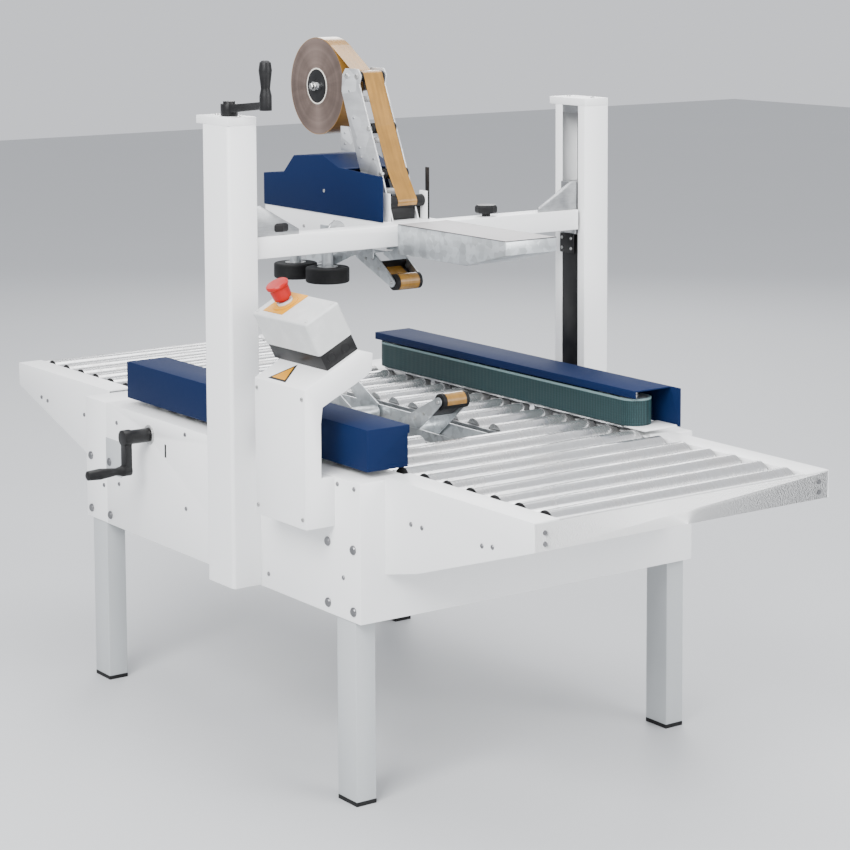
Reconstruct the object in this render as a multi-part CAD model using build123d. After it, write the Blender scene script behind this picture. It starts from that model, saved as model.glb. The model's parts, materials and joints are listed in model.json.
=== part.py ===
"""Carton sealer: roller bed, two side belt drives, top and bottom tape heads.

Millimetres. X is the direction of travel (+X is the infeed end), Y = 0 is the tape line
(-Y is the operator's side), Z is up from the floor.
"""

from build123d import *
import math
import os

# ---- driving dimensions -------------------------------------------------------------
# body
BODY_HALF_LENGTH = 547
BODY_HALF_WIDTH = 413
BODY_BOTTOM = 359
BODY_TOP = 629
SHEET = 3
SEAM = 0.5
INFEED_SEAM_X = 196
OUTFEED_SEAM_X = -452
# legs
LEG_LENGTH_X = 64
LEG_WIDTH_Y = 45
LEG_INSET_X = 22
LEG_WALL = 3
LEG_TOP = 600
FOOT_HEIGHT = 8
# rollers
PASS_HEIGHT = 640
ROLLER_RADIUS = 24
ROLLER_WALL = 2
ROLLER_PITCH = 73
ROLLER_HALF_FACE = 290
AXLE_RADIUS = 6
PLUG_WIDTH = 12
RUNNING_FIT = 0.05
ROLLER_END_GAP = 12
EXTENSION_FIRST = 37
EXTENSION_ROLLERS = 6
POCKET_FIRST = -3
POCKET_LAST = 4
POCKET_HALF_WIDTH = 85
RAIL_INNER = 297
RAIL_THICKNESS = 6
# extensions
EXTENSION_LENGTH = 450
EXTENSION_OUTER = 355
EXTENSION_TOP = 635
EXTENSION_ROOT_DEPTH = 187
EXTENSION_KNEE_DEPTH = 164
EXTENSION_KNEE_X = 102
EXTENSION_TIP_DEPTH = 53
# columns
COLUMN_X0 = 94
COLUMN_X1 = 195
COLUMN_DEPTH = 65
COLUMN_BOTTOM = 361
COLUMN_TOP = 1279
CAP_THICKNESS = 16
LIFT_SCREW_RADIUS = 8
# crossbeam
BEAM_X0 = 132
BEAM_X1 = 182
BEAM_BOTTOM = 1012
BEAM_TOP = 1055
BEAM_END_GAP = 6
CARRIAGE_TOP = 1113
CARRIAGE_BOTTOM = 1000
LIFT_DOWN = 160
LIFT_UP = 120
# side belt units
BELT_FACE = 278
BELT_THICKNESS = 5
BELT_BOTTOM = 646.5
BELT_HEIGHT = 56
DRUM_RADIUS = 30
DRIVE_DRUM_X = -375
IDLER_DRUM_X = 480
SPINDLE_RADIUS = 8
UNIT_TRAVEL = 180
COVER_TOP = 722
GUIDE_ROD_GAP = 2.5
GUIDE_ROD_Z = 535
GUIDE_ROD_RADIUS = 10
WIDTH_SCREW_GAP = -3.5
UNIT_LEG_CLEARANCE = 4.5
WIDTH_SCREW_Z = 590
WIDTH_SCREW_RADIUS = 6
# tape heads
TAPE_HALF_WIDTH = 25
TAPE_ROLL_RADIUS = 105
CORE_RADIUS = 38
ARM_ROLLER_RADIUS = 17
ARM_GAP = 34
ARM_PLATE = 3
# pedestal and control box
PEDESTAL_X0 = 283
PEDESTAL_X1 = 462
CONTROL_X0 = 262
CONTROL_X1 = 455
CONTROL_TILT = 27
CONTROL_DEPTH = 84
CONTROL_BASE_HEIGHT = 35
CONTROL_LID_HEIGHT = 70

# ---- derived places -----------------------------------------------------------------
ROLLER_Z = PASS_HEIGHT - ROLLER_RADIUS
BED_ROLLERS = (BODY_HALF_LENGTH - ROLLER_RADIUS - ROLLER_END_GAP) // ROLLER_PITCH
GUIDE_ROD_X = GUIDE_ROD_GAP * ROLLER_PITCH
WIDTH_SCREW_X = WIDTH_SCREW_GAP * ROLLER_PITCH
UNIT_LEG_HALF = ROLLER_PITCH / 2 - ROLLER_RADIUS - UNIT_LEG_CLEARANCE
LEG_X = BODY_HALF_LENGTH - LEG_INSET_X
INSIDE_Y = BODY_HALF_WIDTH - SHEET
RAIL_OUTER = RAIL_INNER + RAIL_THICKNESS
AXLE_HALF = RAIL_INNER + SHEET - 0.5
EXTENSION_END = BODY_HALF_LENGTH + EXTENSION_LENGTH
COLUMN_OUTER = BODY_HALF_WIDTH + COLUMN_DEPTH
SCREW_Y = BODY_HALF_WIDTH + 31
SCREW_X = (COLUMN_X0 + COLUMN_X1) / 2
CAP_TOP = COLUMN_TOP + CAP_THICKNESS
RAIL_TOP = BODY_TOP - SHEET
CROSSBAR_TOP = ROLLER_Z - ROLLER_RADIUS - 6
CROSSBAR_BOTTOM = CROSSBAR_TOP - 28
POCKET_X0 = ROLLER_PITCH * POCKET_FIRST - ROLLER_RADIUS
POCKET_X1 = ROLLER_PITCH * (POCKET_LAST + 1) - ROLLER_RADIUS - 3
DRUM_Y = BELT_FACE + BELT_THICKNESS + DRUM_RADIUS
SIDES = ((-1, "near"), (1, "far"))

os.makedirs("parts", exist_ok=True)


# ---- helpers ------------------------------------------------------------------------
def block(x, y, z):
    """Box between two X, two Y and two Z values, given in any order."""
    size = [abs(b - a) for a, b in (x, y, z)]
    middle = [(a + b) / 2 for a, b in (x, y, z)]
    return Pos(*middle) * Box(*size)


def rod(start, end, radius):
    """Round bar from one point to another."""
    start = Vector(*start)
    axis = Vector(*end) - start
    plane = Plane(origin=start, z_dir=axis.normalized())
    return extrude(plane * Circle(radius), axis.length)


def tube(start, end, radius, bore):
    """Round bar with a hole right through it."""
    start = Vector(*start)
    axis = Vector(*end) - start
    plane = Plane(origin=start, z_dir=axis.normalized())
    return extrude(plane * (Circle(radius) - Circle(bore)), axis.length)


def plate_xz(points, y0, y1):
    """Flat plate with an outline in X and Z, between two Y values."""
    outline = Polyline([(x, 0, z) for x, z in points], close=True)
    face = make_face(outline)
    return Pos(0, min(y0, y1), 0) * extrude(face, abs(y1 - y0), dir=(0, 1, 0))


def plate_yz(points, x0, x1):
    """Flat plate with an outline in Y and Z, between two X values."""
    outline = Polyline([(0, y, z) for y, z in points], close=True)
    face = make_face(outline)
    return Pos(min(x0, x1), 0, 0) * extrude(face, abs(x1 - x0), dir=(1, 0, 0))


def save(name, *shapes):
    """Write one node: one solid, or a group of separate solids."""
    solids = [solid for shape in shapes for solid in shape.solids()]
    result = solids[0] if len(solids) == 1 else Compound(children=solids)
    export_step(result, f"parts/{name}.step")


# ---- body shells --------------------------------------------------------------------
def side_panel(side):
    """Middle side panel with its top flange folded in to the bed rail."""
    x = (OUTFEED_SEAM_X + SEAM, INFEED_SEAM_X - SEAM)
    wall = block(x, (side * INSIDE_Y, side * BODY_HALF_WIDTH), (BODY_BOTTOM, BODY_TOP))
    flange = block(x, (side * RAIL_INNER, side * BODY_HALF_WIDTH), (RAIL_TOP, BODY_TOP))
    panel = wall + flange
    if side < 0:
        hole = rod((WIDTH_SCREW_X, -BODY_HALF_WIDTH - 5, WIDTH_SCREW_Z),
                   (WIDTH_SCREW_X, -INSIDE_Y + 5, WIDTH_SCREW_Z), WIDTH_SCREW_RADIUS + 1)
        panel -= hole
    return panel


def end_shell(end, seam_x):
    """End plate that wraps round both corners as far as the panel seams."""
    end_x = end * BODY_HALF_LENGTH
    shell = block((end_x, end_x - end * SHEET), (-BODY_HALF_WIDTH, BODY_HALF_WIDTH), (BODY_BOTTOM, RAIL_TOP))
    for side, _ in SIDES:
        shell += block((seam_x, end_x), (side * INSIDE_Y, side * BODY_HALF_WIDTH), (BODY_BOTTOM, BODY_TOP))
        shell += block((seam_x, end_x), (side * RAIL_INNER, side * BODY_HALF_WIDTH), (RAIL_TOP, BODY_TOP))
    return shell


for side, name in SIDES:
    save(f"{name}_side_panel", side_panel(side))
save("end_shells", end_shell(1, INFEED_SEAM_X), end_shell(-1, OUTFEED_SEAM_X))


# ---- legs and feet ------------------------------------------------------------------
def corners():
    """Signs of X and Y at the four corners."""
    return [(end, side) for end in (-1, 1) for side in (-1, 1)]


def leg(end, side):
    """Rectangular tube from the foot up into the body."""
    x = (end * LEG_X, end * (LEG_X - LEG_LENGTH_X))
    y = (side * INSIDE_Y, side * (INSIDE_Y - LEG_WIDTH_Y))
    inner_x = (end * (LEG_X - LEG_WALL), end * (LEG_X - LEG_LENGTH_X + LEG_WALL))
    inner_y = (side * (INSIDE_Y - LEG_WALL), side * (INSIDE_Y - LEG_WIDTH_Y + LEG_WALL))
    return block(x, y, (FOOT_HEIGHT, LEG_TOP)) - block(inner_x, inner_y, (FOOT_HEIGHT - 1, LEG_TOP + 1))


def foot_pad(end, side):
    """Foot pad with a plug that seats in the leg tube."""
    x = (end * LEG_X, end * (LEG_X - LEG_LENGTH_X))
    y = (side * INSIDE_Y, side * (INSIDE_Y - LEG_WIDTH_Y))
    plug_x = (end * (LEG_X - LEG_WALL), end * (LEG_X - LEG_LENGTH_X + LEG_WALL))
    plug_y = (side * (INSIDE_Y - LEG_WALL), side * (INSIDE_Y - LEG_WIDTH_Y + LEG_WALL))
    return block(x, y, (0, FOOT_HEIGHT)) + block(plug_x, plug_y, (FOOT_HEIGHT, FOOT_HEIGHT + 20))


save("legs", *[leg(end, side) for end, side in corners()])
save("foot_pads", *[foot_pad(end, side) for end, side in corners()])


# ---- inner frame --------------------------------------------------------------------
CROSSBAR_WIDTH = 20
SIDE_RAIL_WIDTH = 30
SIDE_RAIL_BOTTOM = GUIDE_ROD_Z - 25
LEG_INNER_X = LEG_X - LEG_LENGTH_X
ROLLER_XS = [k * ROLLER_PITCH for k in range(-BED_ROLLERS, BED_ROLLERS + 1)]
POCKET_XS = [k * ROLLER_PITCH for k in range(POCKET_FIRST, POCKET_LAST + 1)]
EXTENSION_XS = [BODY_HALF_LENGTH + EXTENSION_FIRST + k * ROLLER_PITCH for k in range(EXTENSION_ROLLERS)]
SIDE_RAIL_OUTER = INSIDE_Y
SIDE_RAIL_INNER = INSIDE_Y - SIDE_RAIL_WIDTH


def axle_holes(xs, y0, y1):
    """Bars to cut away where the axles seat in a rail."""
    return [rod((x, y0, ROLLER_Z), (x, y1, ROLLER_Z), AXLE_RADIUS + RUNNING_FIT) for x in xs]


def crossbar(x0):
    """Bar from side to side under the rollers."""
    return block((x0, x0 + CROSSBAR_WIDTH), (-SIDE_RAIL_OUTER, SIDE_RAIL_OUTER), (CROSSBAR_BOTTOM, CROSSBAR_TOP))


def inner_frame():
    """Side rails, crossbars, bed rails and the rails of the centre pocket."""
    pocket_bars = (POCKET_X0, POCKET_X1 - CROSSBAR_WIDTH)
    end_bars = (-LEG_INNER_X, LEG_INNER_X - CROSSBAR_WIDTH)
    frame = crossbar(pocket_bars[0])
    for x0 in (pocket_bars[1], *end_bars):
        frame += crossbar(x0)
    for side, _ in SIDES:
        frame += block((-LEG_INNER_X, LEG_INNER_X), (side * SIDE_RAIL_INNER, side * SIDE_RAIL_OUTER),
                       (SIDE_RAIL_BOTTOM, CROSSBAR_TOP))
        end = BODY_HALF_LENGTH - SHEET
        bed_rail = block((-end, end), (side * RAIL_INNER, side * RAIL_OUTER), (CROSSBAR_TOP, RAIL_TOP))
        frame += bed_rail
        frame += block((POCKET_X0, POCKET_X1), (side * POCKET_HALF_WIDTH, side * (POCKET_HALF_WIDTH + RAIL_THICKNESS)),
                       (CROSSBAR_TOP, PASS_HEIGHT - 12))
    frame -= axle_holes(ROLLER_XS, -RAIL_OUTER, -POCKET_HALF_WIDTH)
    frame -= axle_holes(ROLLER_XS, POCKET_HALF_WIDTH, RAIL_OUTER)
    hole = WIDTH_SCREW_RADIUS + RUNNING_FIT
    frame -= rod((WIDTH_SCREW_X, -INSIDE_Y, WIDTH_SCREW_Z), (WIDTH_SCREW_X, INSIDE_Y, WIDTH_SCREW_Z), hole)
    return frame


def guide_rod(x):
    """Round rod from side rail to side rail that a belt unit slides on."""
    return rod((x, -SIDE_RAIL_INNER, GUIDE_ROD_Z), (x, SIDE_RAIL_INNER, GUIDE_ROD_Z), GUIDE_ROD_RADIUS)


def screw_bearing(side):
    """Bearing block of the width screw, bolted on the side rail under the top flange."""
    y = (side * SIDE_RAIL_INNER, side * SIDE_RAIL_OUTER)
    x = (WIDTH_SCREW_X - 22, WIDTH_SCREW_X + 22)
    bearing = block(x, y, (CROSSBAR_TOP, WIDTH_SCREW_Z + 22))
    hole = WIDTH_SCREW_RADIUS + RUNNING_FIT
    return bearing - rod((WIDTH_SCREW_X, y[0], WIDTH_SCREW_Z), (WIDTH_SCREW_X, y[1], WIDTH_SCREW_Z), hole)


save("inner_frame", inner_frame())
width_bearings = [screw_bearing(side) for side, _ in SIDES]
save("guide_rods", guide_rod(-GUIDE_ROD_X), guide_rod(GUIDE_ROD_X))


# ---- rollers ------------------------------------------------------------------------
def roller(x, y0, y1):
    """Roller tube with a bearing plug in each end, running free on its axle."""
    bore = AXLE_RADIUS + RUNNING_FIT
    body = tube((x, y0, ROLLER_Z), (x, y1, ROLLER_Z), ROLLER_RADIUS, ROLLER_RADIUS - ROLLER_WALL)
    for start, stop in ((y0, y0 + PLUG_WIDTH), (y1 - PLUG_WIDTH, y1)):
        body += tube((x, start, ROLLER_Z), (x, stop, ROLLER_Z), ROLLER_RADIUS - ROLLER_WALL, bore)
    return body


def axle(x, y0, y1):
    """Fixed axle of one roller."""
    return rod((x, y0, ROLLER_Z), (x, y1, ROLLER_Z), AXLE_RADIUS)


FULL = (-ROLLER_HALF_FACE, ROLLER_HALF_FACE)
HALF_END = POCKET_HALF_WIDTH + RAIL_THICKNESS + 4
HALVES = ((-ROLLER_HALF_FACE, -HALF_END), (HALF_END, ROLLER_HALF_FACE))
full_xs = [x for x in ROLLER_XS if x not in POCKET_XS]
outfeed_xs = [-x for x in EXTENSION_XS]
half_rollers = [roller(x, *half) for x in POCKET_XS for half in HALVES]
save("bed_rollers", *[roller(x, *FULL) for x in full_xs + outfeed_xs], *half_rollers)
for number, x in enumerate(EXTENSION_XS, start=1):
    save(f"infeed_roller_{number}", roller(x, *FULL))
whole_axles = [axle(x, -AXLE_HALF, AXLE_HALF) for x in full_xs + outfeed_xs + EXTENSION_XS]
AXLE_INNER = POCKET_HALF_WIDTH + 0.5
half_axles = [axle(x, side * AXLE_INNER, side * AXLE_HALF) for x in POCKET_XS for side, _ in SIDES]
save("roller_axles", *whole_axles, *half_axles)


# ---- extensions ---------------------------------------------------------------------
def extension_rail(end, side):
    """Folded side rail: tapered outer plate, top flange, inner web and a flange on the body."""
    root = end * BODY_HALF_LENGTH
    tip = end * EXTENSION_END
    knee = end * (BODY_HALF_LENGTH + EXTENSION_KNEE_X)
    top = EXTENSION_TOP - SHEET
    outline = [(root, top), (tip, top), (tip, EXTENSION_TOP - EXTENSION_TIP_DEPTH),
               (knee, EXTENSION_TOP - EXTENSION_KNEE_DEPTH), (root, EXTENSION_TOP - EXTENSION_ROOT_DEPTH)]
    rail = plate_xz(outline, side * EXTENSION_OUTER, side * (EXTENSION_OUTER - SHEET))
    rail += block((root, tip), (side * RAIL_INNER, side * EXTENSION_OUTER), (top, EXTENSION_TOP))
    web_bottom = ROLLER_Z - AXLE_RADIUS - 12
    rail += block((root, tip - end * SHEET), (side * RAIL_INNER, side * (RAIL_INNER + SHEET)), (web_bottom, top))
    rail += block((root, root + end * SHEET), (side * (EXTENSION_OUTER - 38), side * (EXTENSION_OUTER - SHEET)),
                  (EXTENSION_TOP - EXTENSION_ROOT_DEPTH + 8, BODY_TOP - 12))
    xs = [end * x for x in EXTENSION_XS]
    return rail - axle_holes(xs, side * RAIL_INNER, side * (RAIL_INNER + SHEET))


def extension_end_bar(end):
    """Front bar between the two side rails, with folded lips."""
    tip = end * EXTENSION_END
    top = EXTENSION_TOP - SHEET
    bottom = EXTENSION_TOP - EXTENSION_TIP_DEPTH
    half = EXTENSION_OUTER - SHEET
    bar = block((tip, tip - end * SHEET), (-half, half), (bottom, top))
    bar += block((tip, tip - end * 20), (-half, half), (bottom, bottom + SHEET))
    bar += block((tip, tip - end * 16), (-RAIL_INNER, RAIL_INNER), (top - SHEET, top))
    return bar


side_rails = [extension_rail(end, side) for end, side in corners()]
save("extension_frames", *side_rails, extension_end_bar(1), extension_end_bar(-1))


# ---- bolts and screws ---------------------------------------------------------------
DOME_RADIUS = 9
DOME_HEIGHT = 4
SCREW_HEAD_RADIUS = 4.5
SCREW_HEAD_HEIGHT = 2
CORNER_BOLT_INSETS = (23, 110)
CORNER_BOLT_HEIGHTS = (21, 140)


def head(point, axis, radius, height):
    """Round head that stands on a face and points along the given axis."""
    start = Vector(*point)
    button = rod(point, tuple(start + Vector(*axis) * height), radius)
    far_edges = button.edges().filter_by(GeomType.CIRCLE).sort_by(lambda edge: (edge.center() - start).length)
    return chamfer(far_edges[-1], height * 0.45)


def corner_bolts():
    """Dome heads beside every leg, on both sides of the body."""
    heads = []
    for end, side in corners():
        for inset in CORNER_BOLT_INSETS:
            for height in CORNER_BOLT_HEIGHTS:
                x = end * (BODY_HALF_LENGTH - inset)
                point = (x, side * BODY_HALF_WIDTH, BODY_BOTTOM + height)
                heads.append(head(point, (0, side, 0), DOME_RADIUS, DOME_HEIGHT))
    return heads


def panel_screws():
    """Small screws along the panel seams and on the extension side rails."""
    heads = []
    seam_screws = ((-465, 83), (-395, 98), (-401, 233), (-263, 244), (-103, 256), (-103, 99))
    shell_screws = ((490, 80), (528, 257), (472, 257), (222, 257), (222, 30))
    for side, _ in SIDES:
        for x, height in seam_screws + shell_screws:
            point = (x, side * BODY_HALF_WIDTH, BODY_BOTTOM + height)
            heads.append(head(point, (0, side, 0), SCREW_HEAD_RADIUS, SCREW_HEAD_HEIGHT))
    for end, side in corners():
        for reach, drop in ((83, 74), (118, 74), (302, 70), (333, 66)):
            point = (end * (BODY_HALF_LENGTH + reach), side * EXTENSION_OUTER, EXTENSION_TOP - drop)
            heads.append(head(point, (0, side, 0), SCREW_HEAD_RADIUS, SCREW_HEAD_HEIGHT))
        for drop in (25, 76, 124):
            point = (end * (BODY_HALF_LENGTH + SHEET), side * (EXTENSION_OUTER - 20), EXTENSION_TOP - drop)
            heads.append(head(point, (end, 0, 0), SCREW_HEAD_RADIUS, SCREW_HEAD_HEIGHT))
        for drop in (20, 40):
            point = (end * EXTENSION_END, side * (RAIL_INNER + 33), EXTENSION_TOP - drop)
            heads.append(head(point, (end, 0, 0), SCREW_HEAD_RADIUS, SCREW_HEAD_HEIGHT))
    return heads


save("body_fasteners", *corner_bolts(), *panel_screws())


# ---- columns ------------------------------------------------------------------------
SLOT_HALF = 27
SLOT_BOTTOM = CARRIAGE_BOTTOM - LIFT_DOWN - 10
SLOT_TOP = CARRIAGE_TOP + LIFT_UP + 10
SCREW_BEARING_HEIGHT = 16
SCREW_BOTTOM = SLOT_BOTTOM - 40
SCREW_BORE = LIFT_SCREW_RADIUS + RUNNING_FIT
CAP_OVERHANG = 20
COLUMN_EDGE = 8
CRANK_HUB_HEIGHT = 24


def column_bearings(side):
    """Bearing plates at the foot and the head of the lift screw, as wide as the column inside."""
    plates = []
    x = (COLUMN_X0 + SHEET, COLUMN_X1 - SHEET)
    y = (side * (BODY_HALF_WIDTH + SHEET), side * (COLUMN_OUTER - SHEET))
    for z0 in (SCREW_BOTTOM, COLUMN_TOP - SCREW_BEARING_HEIGHT):
        plate = block(x, y, (z0, z0 + SCREW_BEARING_HEIGHT))
        hole = rod((SCREW_X, side * SCREW_Y, z0 - 1), (SCREW_X, side * SCREW_Y, z0 + SCREW_BEARING_HEIGHT + 1),
                   SCREW_BORE)
        plate = fillet(plate.edges().filter_by(Axis.Z).group_by(Axis.Y)[0 if side < 0 else -1], COLUMN_EDGE - SHEET)
        plates.append(plate - hole)
    return plates


def near_column():
    """Closed box column with rounded edges and a slot on its inner face for the carriage."""
    outer = block((COLUMN_X0, COLUMN_X1), (-BODY_HALF_WIDTH, -COLUMN_OUTER), (COLUMN_BOTTOM, COLUMN_TOP))
    outer = fillet(outer.edges().filter_by(Axis.Z).group_by(Axis.Y)[0], COLUMN_EDGE)
    inner = block((COLUMN_X0 + SHEET, COLUMN_X1 - SHEET), (-BODY_HALF_WIDTH - SHEET, -COLUMN_OUTER + SHEET),
                  (COLUMN_BOTTOM - 1, COLUMN_TOP + 1))
    inner = fillet(inner.edges().filter_by(Axis.Z).group_by(Axis.Y)[0], COLUMN_EDGE - SHEET)
    slot = block((SCREW_X - SLOT_HALF, SCREW_X + SLOT_HALF), (-BODY_HALF_WIDTH + 1, -BODY_HALF_WIDTH - SHEET - 1),
                 (SLOT_BOTTOM, SLOT_TOP))
    return outer - inner - slot


def far_column():
    """Channel column, open toward the bed, with its open edges returned inward."""
    outer = block((COLUMN_X0, COLUMN_X1), (BODY_HALF_WIDTH, COLUMN_OUTER), (COLUMN_BOTTOM, COLUMN_TOP))
    inner = block((COLUMN_X0 + SHEET, COLUMN_X1 - SHEET), (BODY_HALF_WIDTH + SHEET, COLUMN_OUTER - SHEET),
                  (COLUMN_BOTTOM - 1, COLUMN_TOP + 1))
    mouth = block((SCREW_X - SLOT_HALF, SCREW_X + SLOT_HALF), (BODY_HALF_WIDTH - 1, BODY_HALF_WIDTH + SHEET + 1),
                  (COLUMN_BOTTOM - 1, COLUMN_TOP + 1))
    return outer - inner - mouth


def column_cap(side):
    """Cap plate that overhangs the column on its outfeed side."""
    cap = block((COLUMN_X0 - CAP_OVERHANG, COLUMN_X1), (side * BODY_HALF_WIDTH, side * COLUMN_OUTER),
                (COLUMN_TOP, CAP_TOP))
    if side < 0:
        hole = LIFT_SCREW_RADIUS + RUNNING_FIT
        cap -= rod((SCREW_X, side * SCREW_Y, COLUMN_TOP - 1), (SCREW_X, side * SCREW_Y, CAP_TOP + 1), hole)
    return cap


def lift_screw(side, top):
    """Lifting screw with a collar that stands on its lower bearing."""
    collar_z = SCREW_BOTTOM + SCREW_BEARING_HEIGHT
    screw = rod((SCREW_X, side * SCREW_Y, SCREW_BOTTOM), (SCREW_X, side * SCREW_Y, top), LIFT_SCREW_RADIUS)
    return screw + rod((SCREW_X, side * SCREW_Y, collar_z), (SCREW_X, side * SCREW_Y, collar_z + 10), 13)


save("near_column", near_column())
save("far_column", far_column())
save("column_caps", *[column_cap(side) for side, _ in SIDES])
lift_bearings = [plate for side, _ in SIDES for plate in column_bearings(side)]
save("screw_bearings", *lift_bearings, *width_bearings)
save("near_lift_screw", lift_screw(-1, CAP_TOP + CRANK_HUB_HEIGHT - 6))
save("far_lift_screw", lift_screw(1, COLUMN_TOP - 2))

# height crank: hub on the screw, rising arm, upright grip
HEIGHT_ARM_REACH = 136
HEIGHT_ARM_RISE = 16
HEIGHT_GRIP_LENGTH = 74


def height_crank():
    """Crank handle on the top end of the near lift screw."""
    hub_z = CAP_TOP + 1
    hub_top = CAP_TOP + CRANK_HUB_HEIGHT
    y = -SCREW_Y
    crank = rod((SCREW_X, y, hub_z), (SCREW_X, y, hub_top), 17)
    crank += rod((SCREW_X, y, hub_top), (SCREW_X, y, hub_top + 5), 12)
    grip_x = SCREW_X + HEIGHT_ARM_REACH
    arm = plate_xz([(SCREW_X, hub_z + 5), (SCREW_X, hub_top - 2), (grip_x, hub_top + HEIGHT_ARM_RISE - 5),
                    (grip_x, hub_top + HEIGHT_ARM_RISE - 19)], y - 9, y + 9)
    boss_z = hub_top + HEIGHT_ARM_RISE
    crank += arm
    crank += rod((grip_x, y, boss_z - 22), (grip_x, y, boss_z), 12)
    profile = [(0, boss_z), (12, boss_z), (12, boss_z + 6), (9, boss_z + 20), (13, boss_z + 55),
               (11, boss_z + HEIGHT_GRIP_LENGTH - 4), (6, boss_z + HEIGHT_GRIP_LENGTH), (0, boss_z + HEIGHT_GRIP_LENGTH)]
    outline = Polyline([(a, 0, b) for a, b in profile], close=True)
    grip = revolve(make_face(outline), Axis.Z)
    crank += Pos(grip_x, y, 0) * grip
    return crank - rod((SCREW_X, y, hub_z - 1), (SCREW_X, y, hub_top - 6), LIFT_SCREW_RADIUS)


save("height_crank", height_crank())

# ---- carriages and crossbeam --------------------------------------------------------
BEAM_END = BODY_HALF_WIDTH - BEAM_END_GAP
CARRIAGE_HALF = SLOT_HALF - 3
GUSSET_THICKNESS = 4
GUSSET_REACH = 90
NOTCH_HALF = 45
NOTCH_TOP = BEAM_BOTTOM + 26


def carriage(side):
    """Screw nut block in the column, with a neck out to the end of the beam."""
    nut = block((SCREW_X - CARRIAGE_HALF, SCREW_X + CARRIAGE_HALF),
                (side * BEAM_END, side * (COLUMN_OUTER - SHEET - 4)), (CARRIAGE_BOTTOM, CARRIAGE_TOP))
    return nut - rod((SCREW_X, side * SCREW_Y, CARRIAGE_BOTTOM - 1), (SCREW_X, side * SCREW_Y, CARRIAGE_TOP + 1),
                     SCREW_BORE)


def crossbeam():
    """Square tube from carriage to carriage."""
    beam = block((BEAM_X0, BEAM_X1), (-BEAM_END, BEAM_END), (BEAM_BOTTOM, BEAM_TOP))
    hollow = block((BEAM_X0 + SHEET, BEAM_X1 - SHEET), (-BEAM_END - 1, BEAM_END + 1),
                   (BEAM_BOTTOM + SHEET, BEAM_TOP - SHEET))
    notch = block((BEAM_X0 - 1, BEAM_X1 + 1), (-NOTCH_HALF, NOTCH_HALF), (BEAM_BOTTOM - 1, NOTCH_TOP))
    return beam - hollow - notch


def gusset(side):
    """Triangular stay on top of the beam, against the carriage."""
    points = [(side * BEAM_END, BEAM_TOP), (side * BEAM_END, CARRIAGE_TOP + 4),
              (side * (BEAM_END - 14), CARRIAGE_TOP + 4), (side * (BEAM_END - 14 - GUSSET_REACH), BEAM_TOP + 10),
              (side * (BEAM_END - 14 - GUSSET_REACH), BEAM_TOP)]
    return plate_yz(points, BEAM_X1 - 8, BEAM_X1 - 8 - GUSSET_THICKNESS)


save("lift_carriages", *[carriage(side) for side, _ in SIDES], *[gusset(side) for side, _ in SIDES])
save("crossbeam", crossbeam())

# ---- infeed ramp --------------------------------------------------------------------
RAMP_X1 = 547
RAMP_Y = (-70, 56)
RAMP_KNEE_X = 417
RAMP_TOP = 1057
RAMP_KNEE_Z = 997
RAMP_TIP_Z = 1030
SKID_BOTTOM = 996


def infeed_ramp():
    """Folded galvanised tray with side cheeks, that rises toward the infeed end."""
    outline = [(BEAM_X1, SKID_BOTTOM), (RAMP_KNEE_X, RAMP_KNEE_Z), (RAMP_X1, RAMP_TIP_Z), (RAMP_X1, RAMP_TOP),
               (BEAM_X1, RAMP_TOP)]
    solid = plate_xz(outline, *RAMP_Y)
    inner = [(BEAM_X1 - 1, SKID_BOTTOM + SHEET), (RAMP_KNEE_X, RAMP_KNEE_Z + SHEET),
             (RAMP_X1 - SHEET, RAMP_TIP_Z + SHEET), (RAMP_X1 - SHEET, RAMP_TOP - SHEET), (BEAM_X1 - 1, RAMP_TOP - SHEET)]
    return solid - plate_xz(inner, RAMP_Y[0] + SHEET, RAMP_Y[1] - SHEET)


save("infeed_ramp", infeed_ramp())

# ---- top tape head ------------------------------------------------------------------
HEAD_X0 = -340
HEAD_X1 = BEAM_X0
HEAD_HALF = 65
CASSETTE_HALF = 45
HEAD_TOP = BEAM_TOP
CROSS_PLATE = 4


def upper_head_frame():
    """Two side plates with skids under them, tied across and butted to the beam."""
    top_z = (HEAD_TOP - SHEET, HEAD_TOP)
    frame = block((HEAD_X0, HEAD_X1), (-HEAD_HALF, HEAD_HALF), top_z)
    frame -= block((HEAD_X0 + 30, 55), (-CASSETTE_HALF, CASSETTE_HALF), (HEAD_TOP - 10, HEAD_TOP + 1))
    for side, _ in SIDES:
        frame += block((HEAD_X0, HEAD_X1), (side * (HEAD_HALF - SHEET), side * HEAD_HALF), (SKID_BOTTOM, HEAD_TOP))
        frame += block((HEAD_X0, HEAD_X1), (side * (CASSETTE_HALF + 2), side * HEAD_HALF),
                       (SKID_BOTTOM, SKID_BOTTOM + SHEET))
    frame += block((HEAD_X0, HEAD_X0 + SHEET), (-HEAD_HALF, HEAD_HALF), (SKID_BOTTOM, HEAD_TOP))
    frame += block((HEAD_X1 - SHEET, HEAD_X1), (-HEAD_HALF, HEAD_HALF), (NOTCH_TOP, HEAD_TOP))
    return frame


save("upper_head_frame", upper_head_frame())

# arms: the front arm lays the tape down, the rear arm wipes the tail; a link couples them
ARM_LENGTH = 136
ARM_DROOP = 28
UPPER_PIVOT_Z = 990
UPPER_FRONT_PIVOT_X = -9
UPPER_REAR_PIVOT_X = -110
LOWER_PIVOT_Z = 616
LOWER_FRONT_PIVOT_X = 146
LOWER_REAR_PIVOT_X = -60
PIVOT_RADIUS = 6
ARM_ROOT_HALF = 26
ARM_TIP_HALF = 10


def pivot_pin(x, z, half):
    """Fixed pivot pin of an arm, from one cassette plate to the other."""
    return rod((x, -half, z), (x, half, z), PIVOT_RADIUS)


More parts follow.
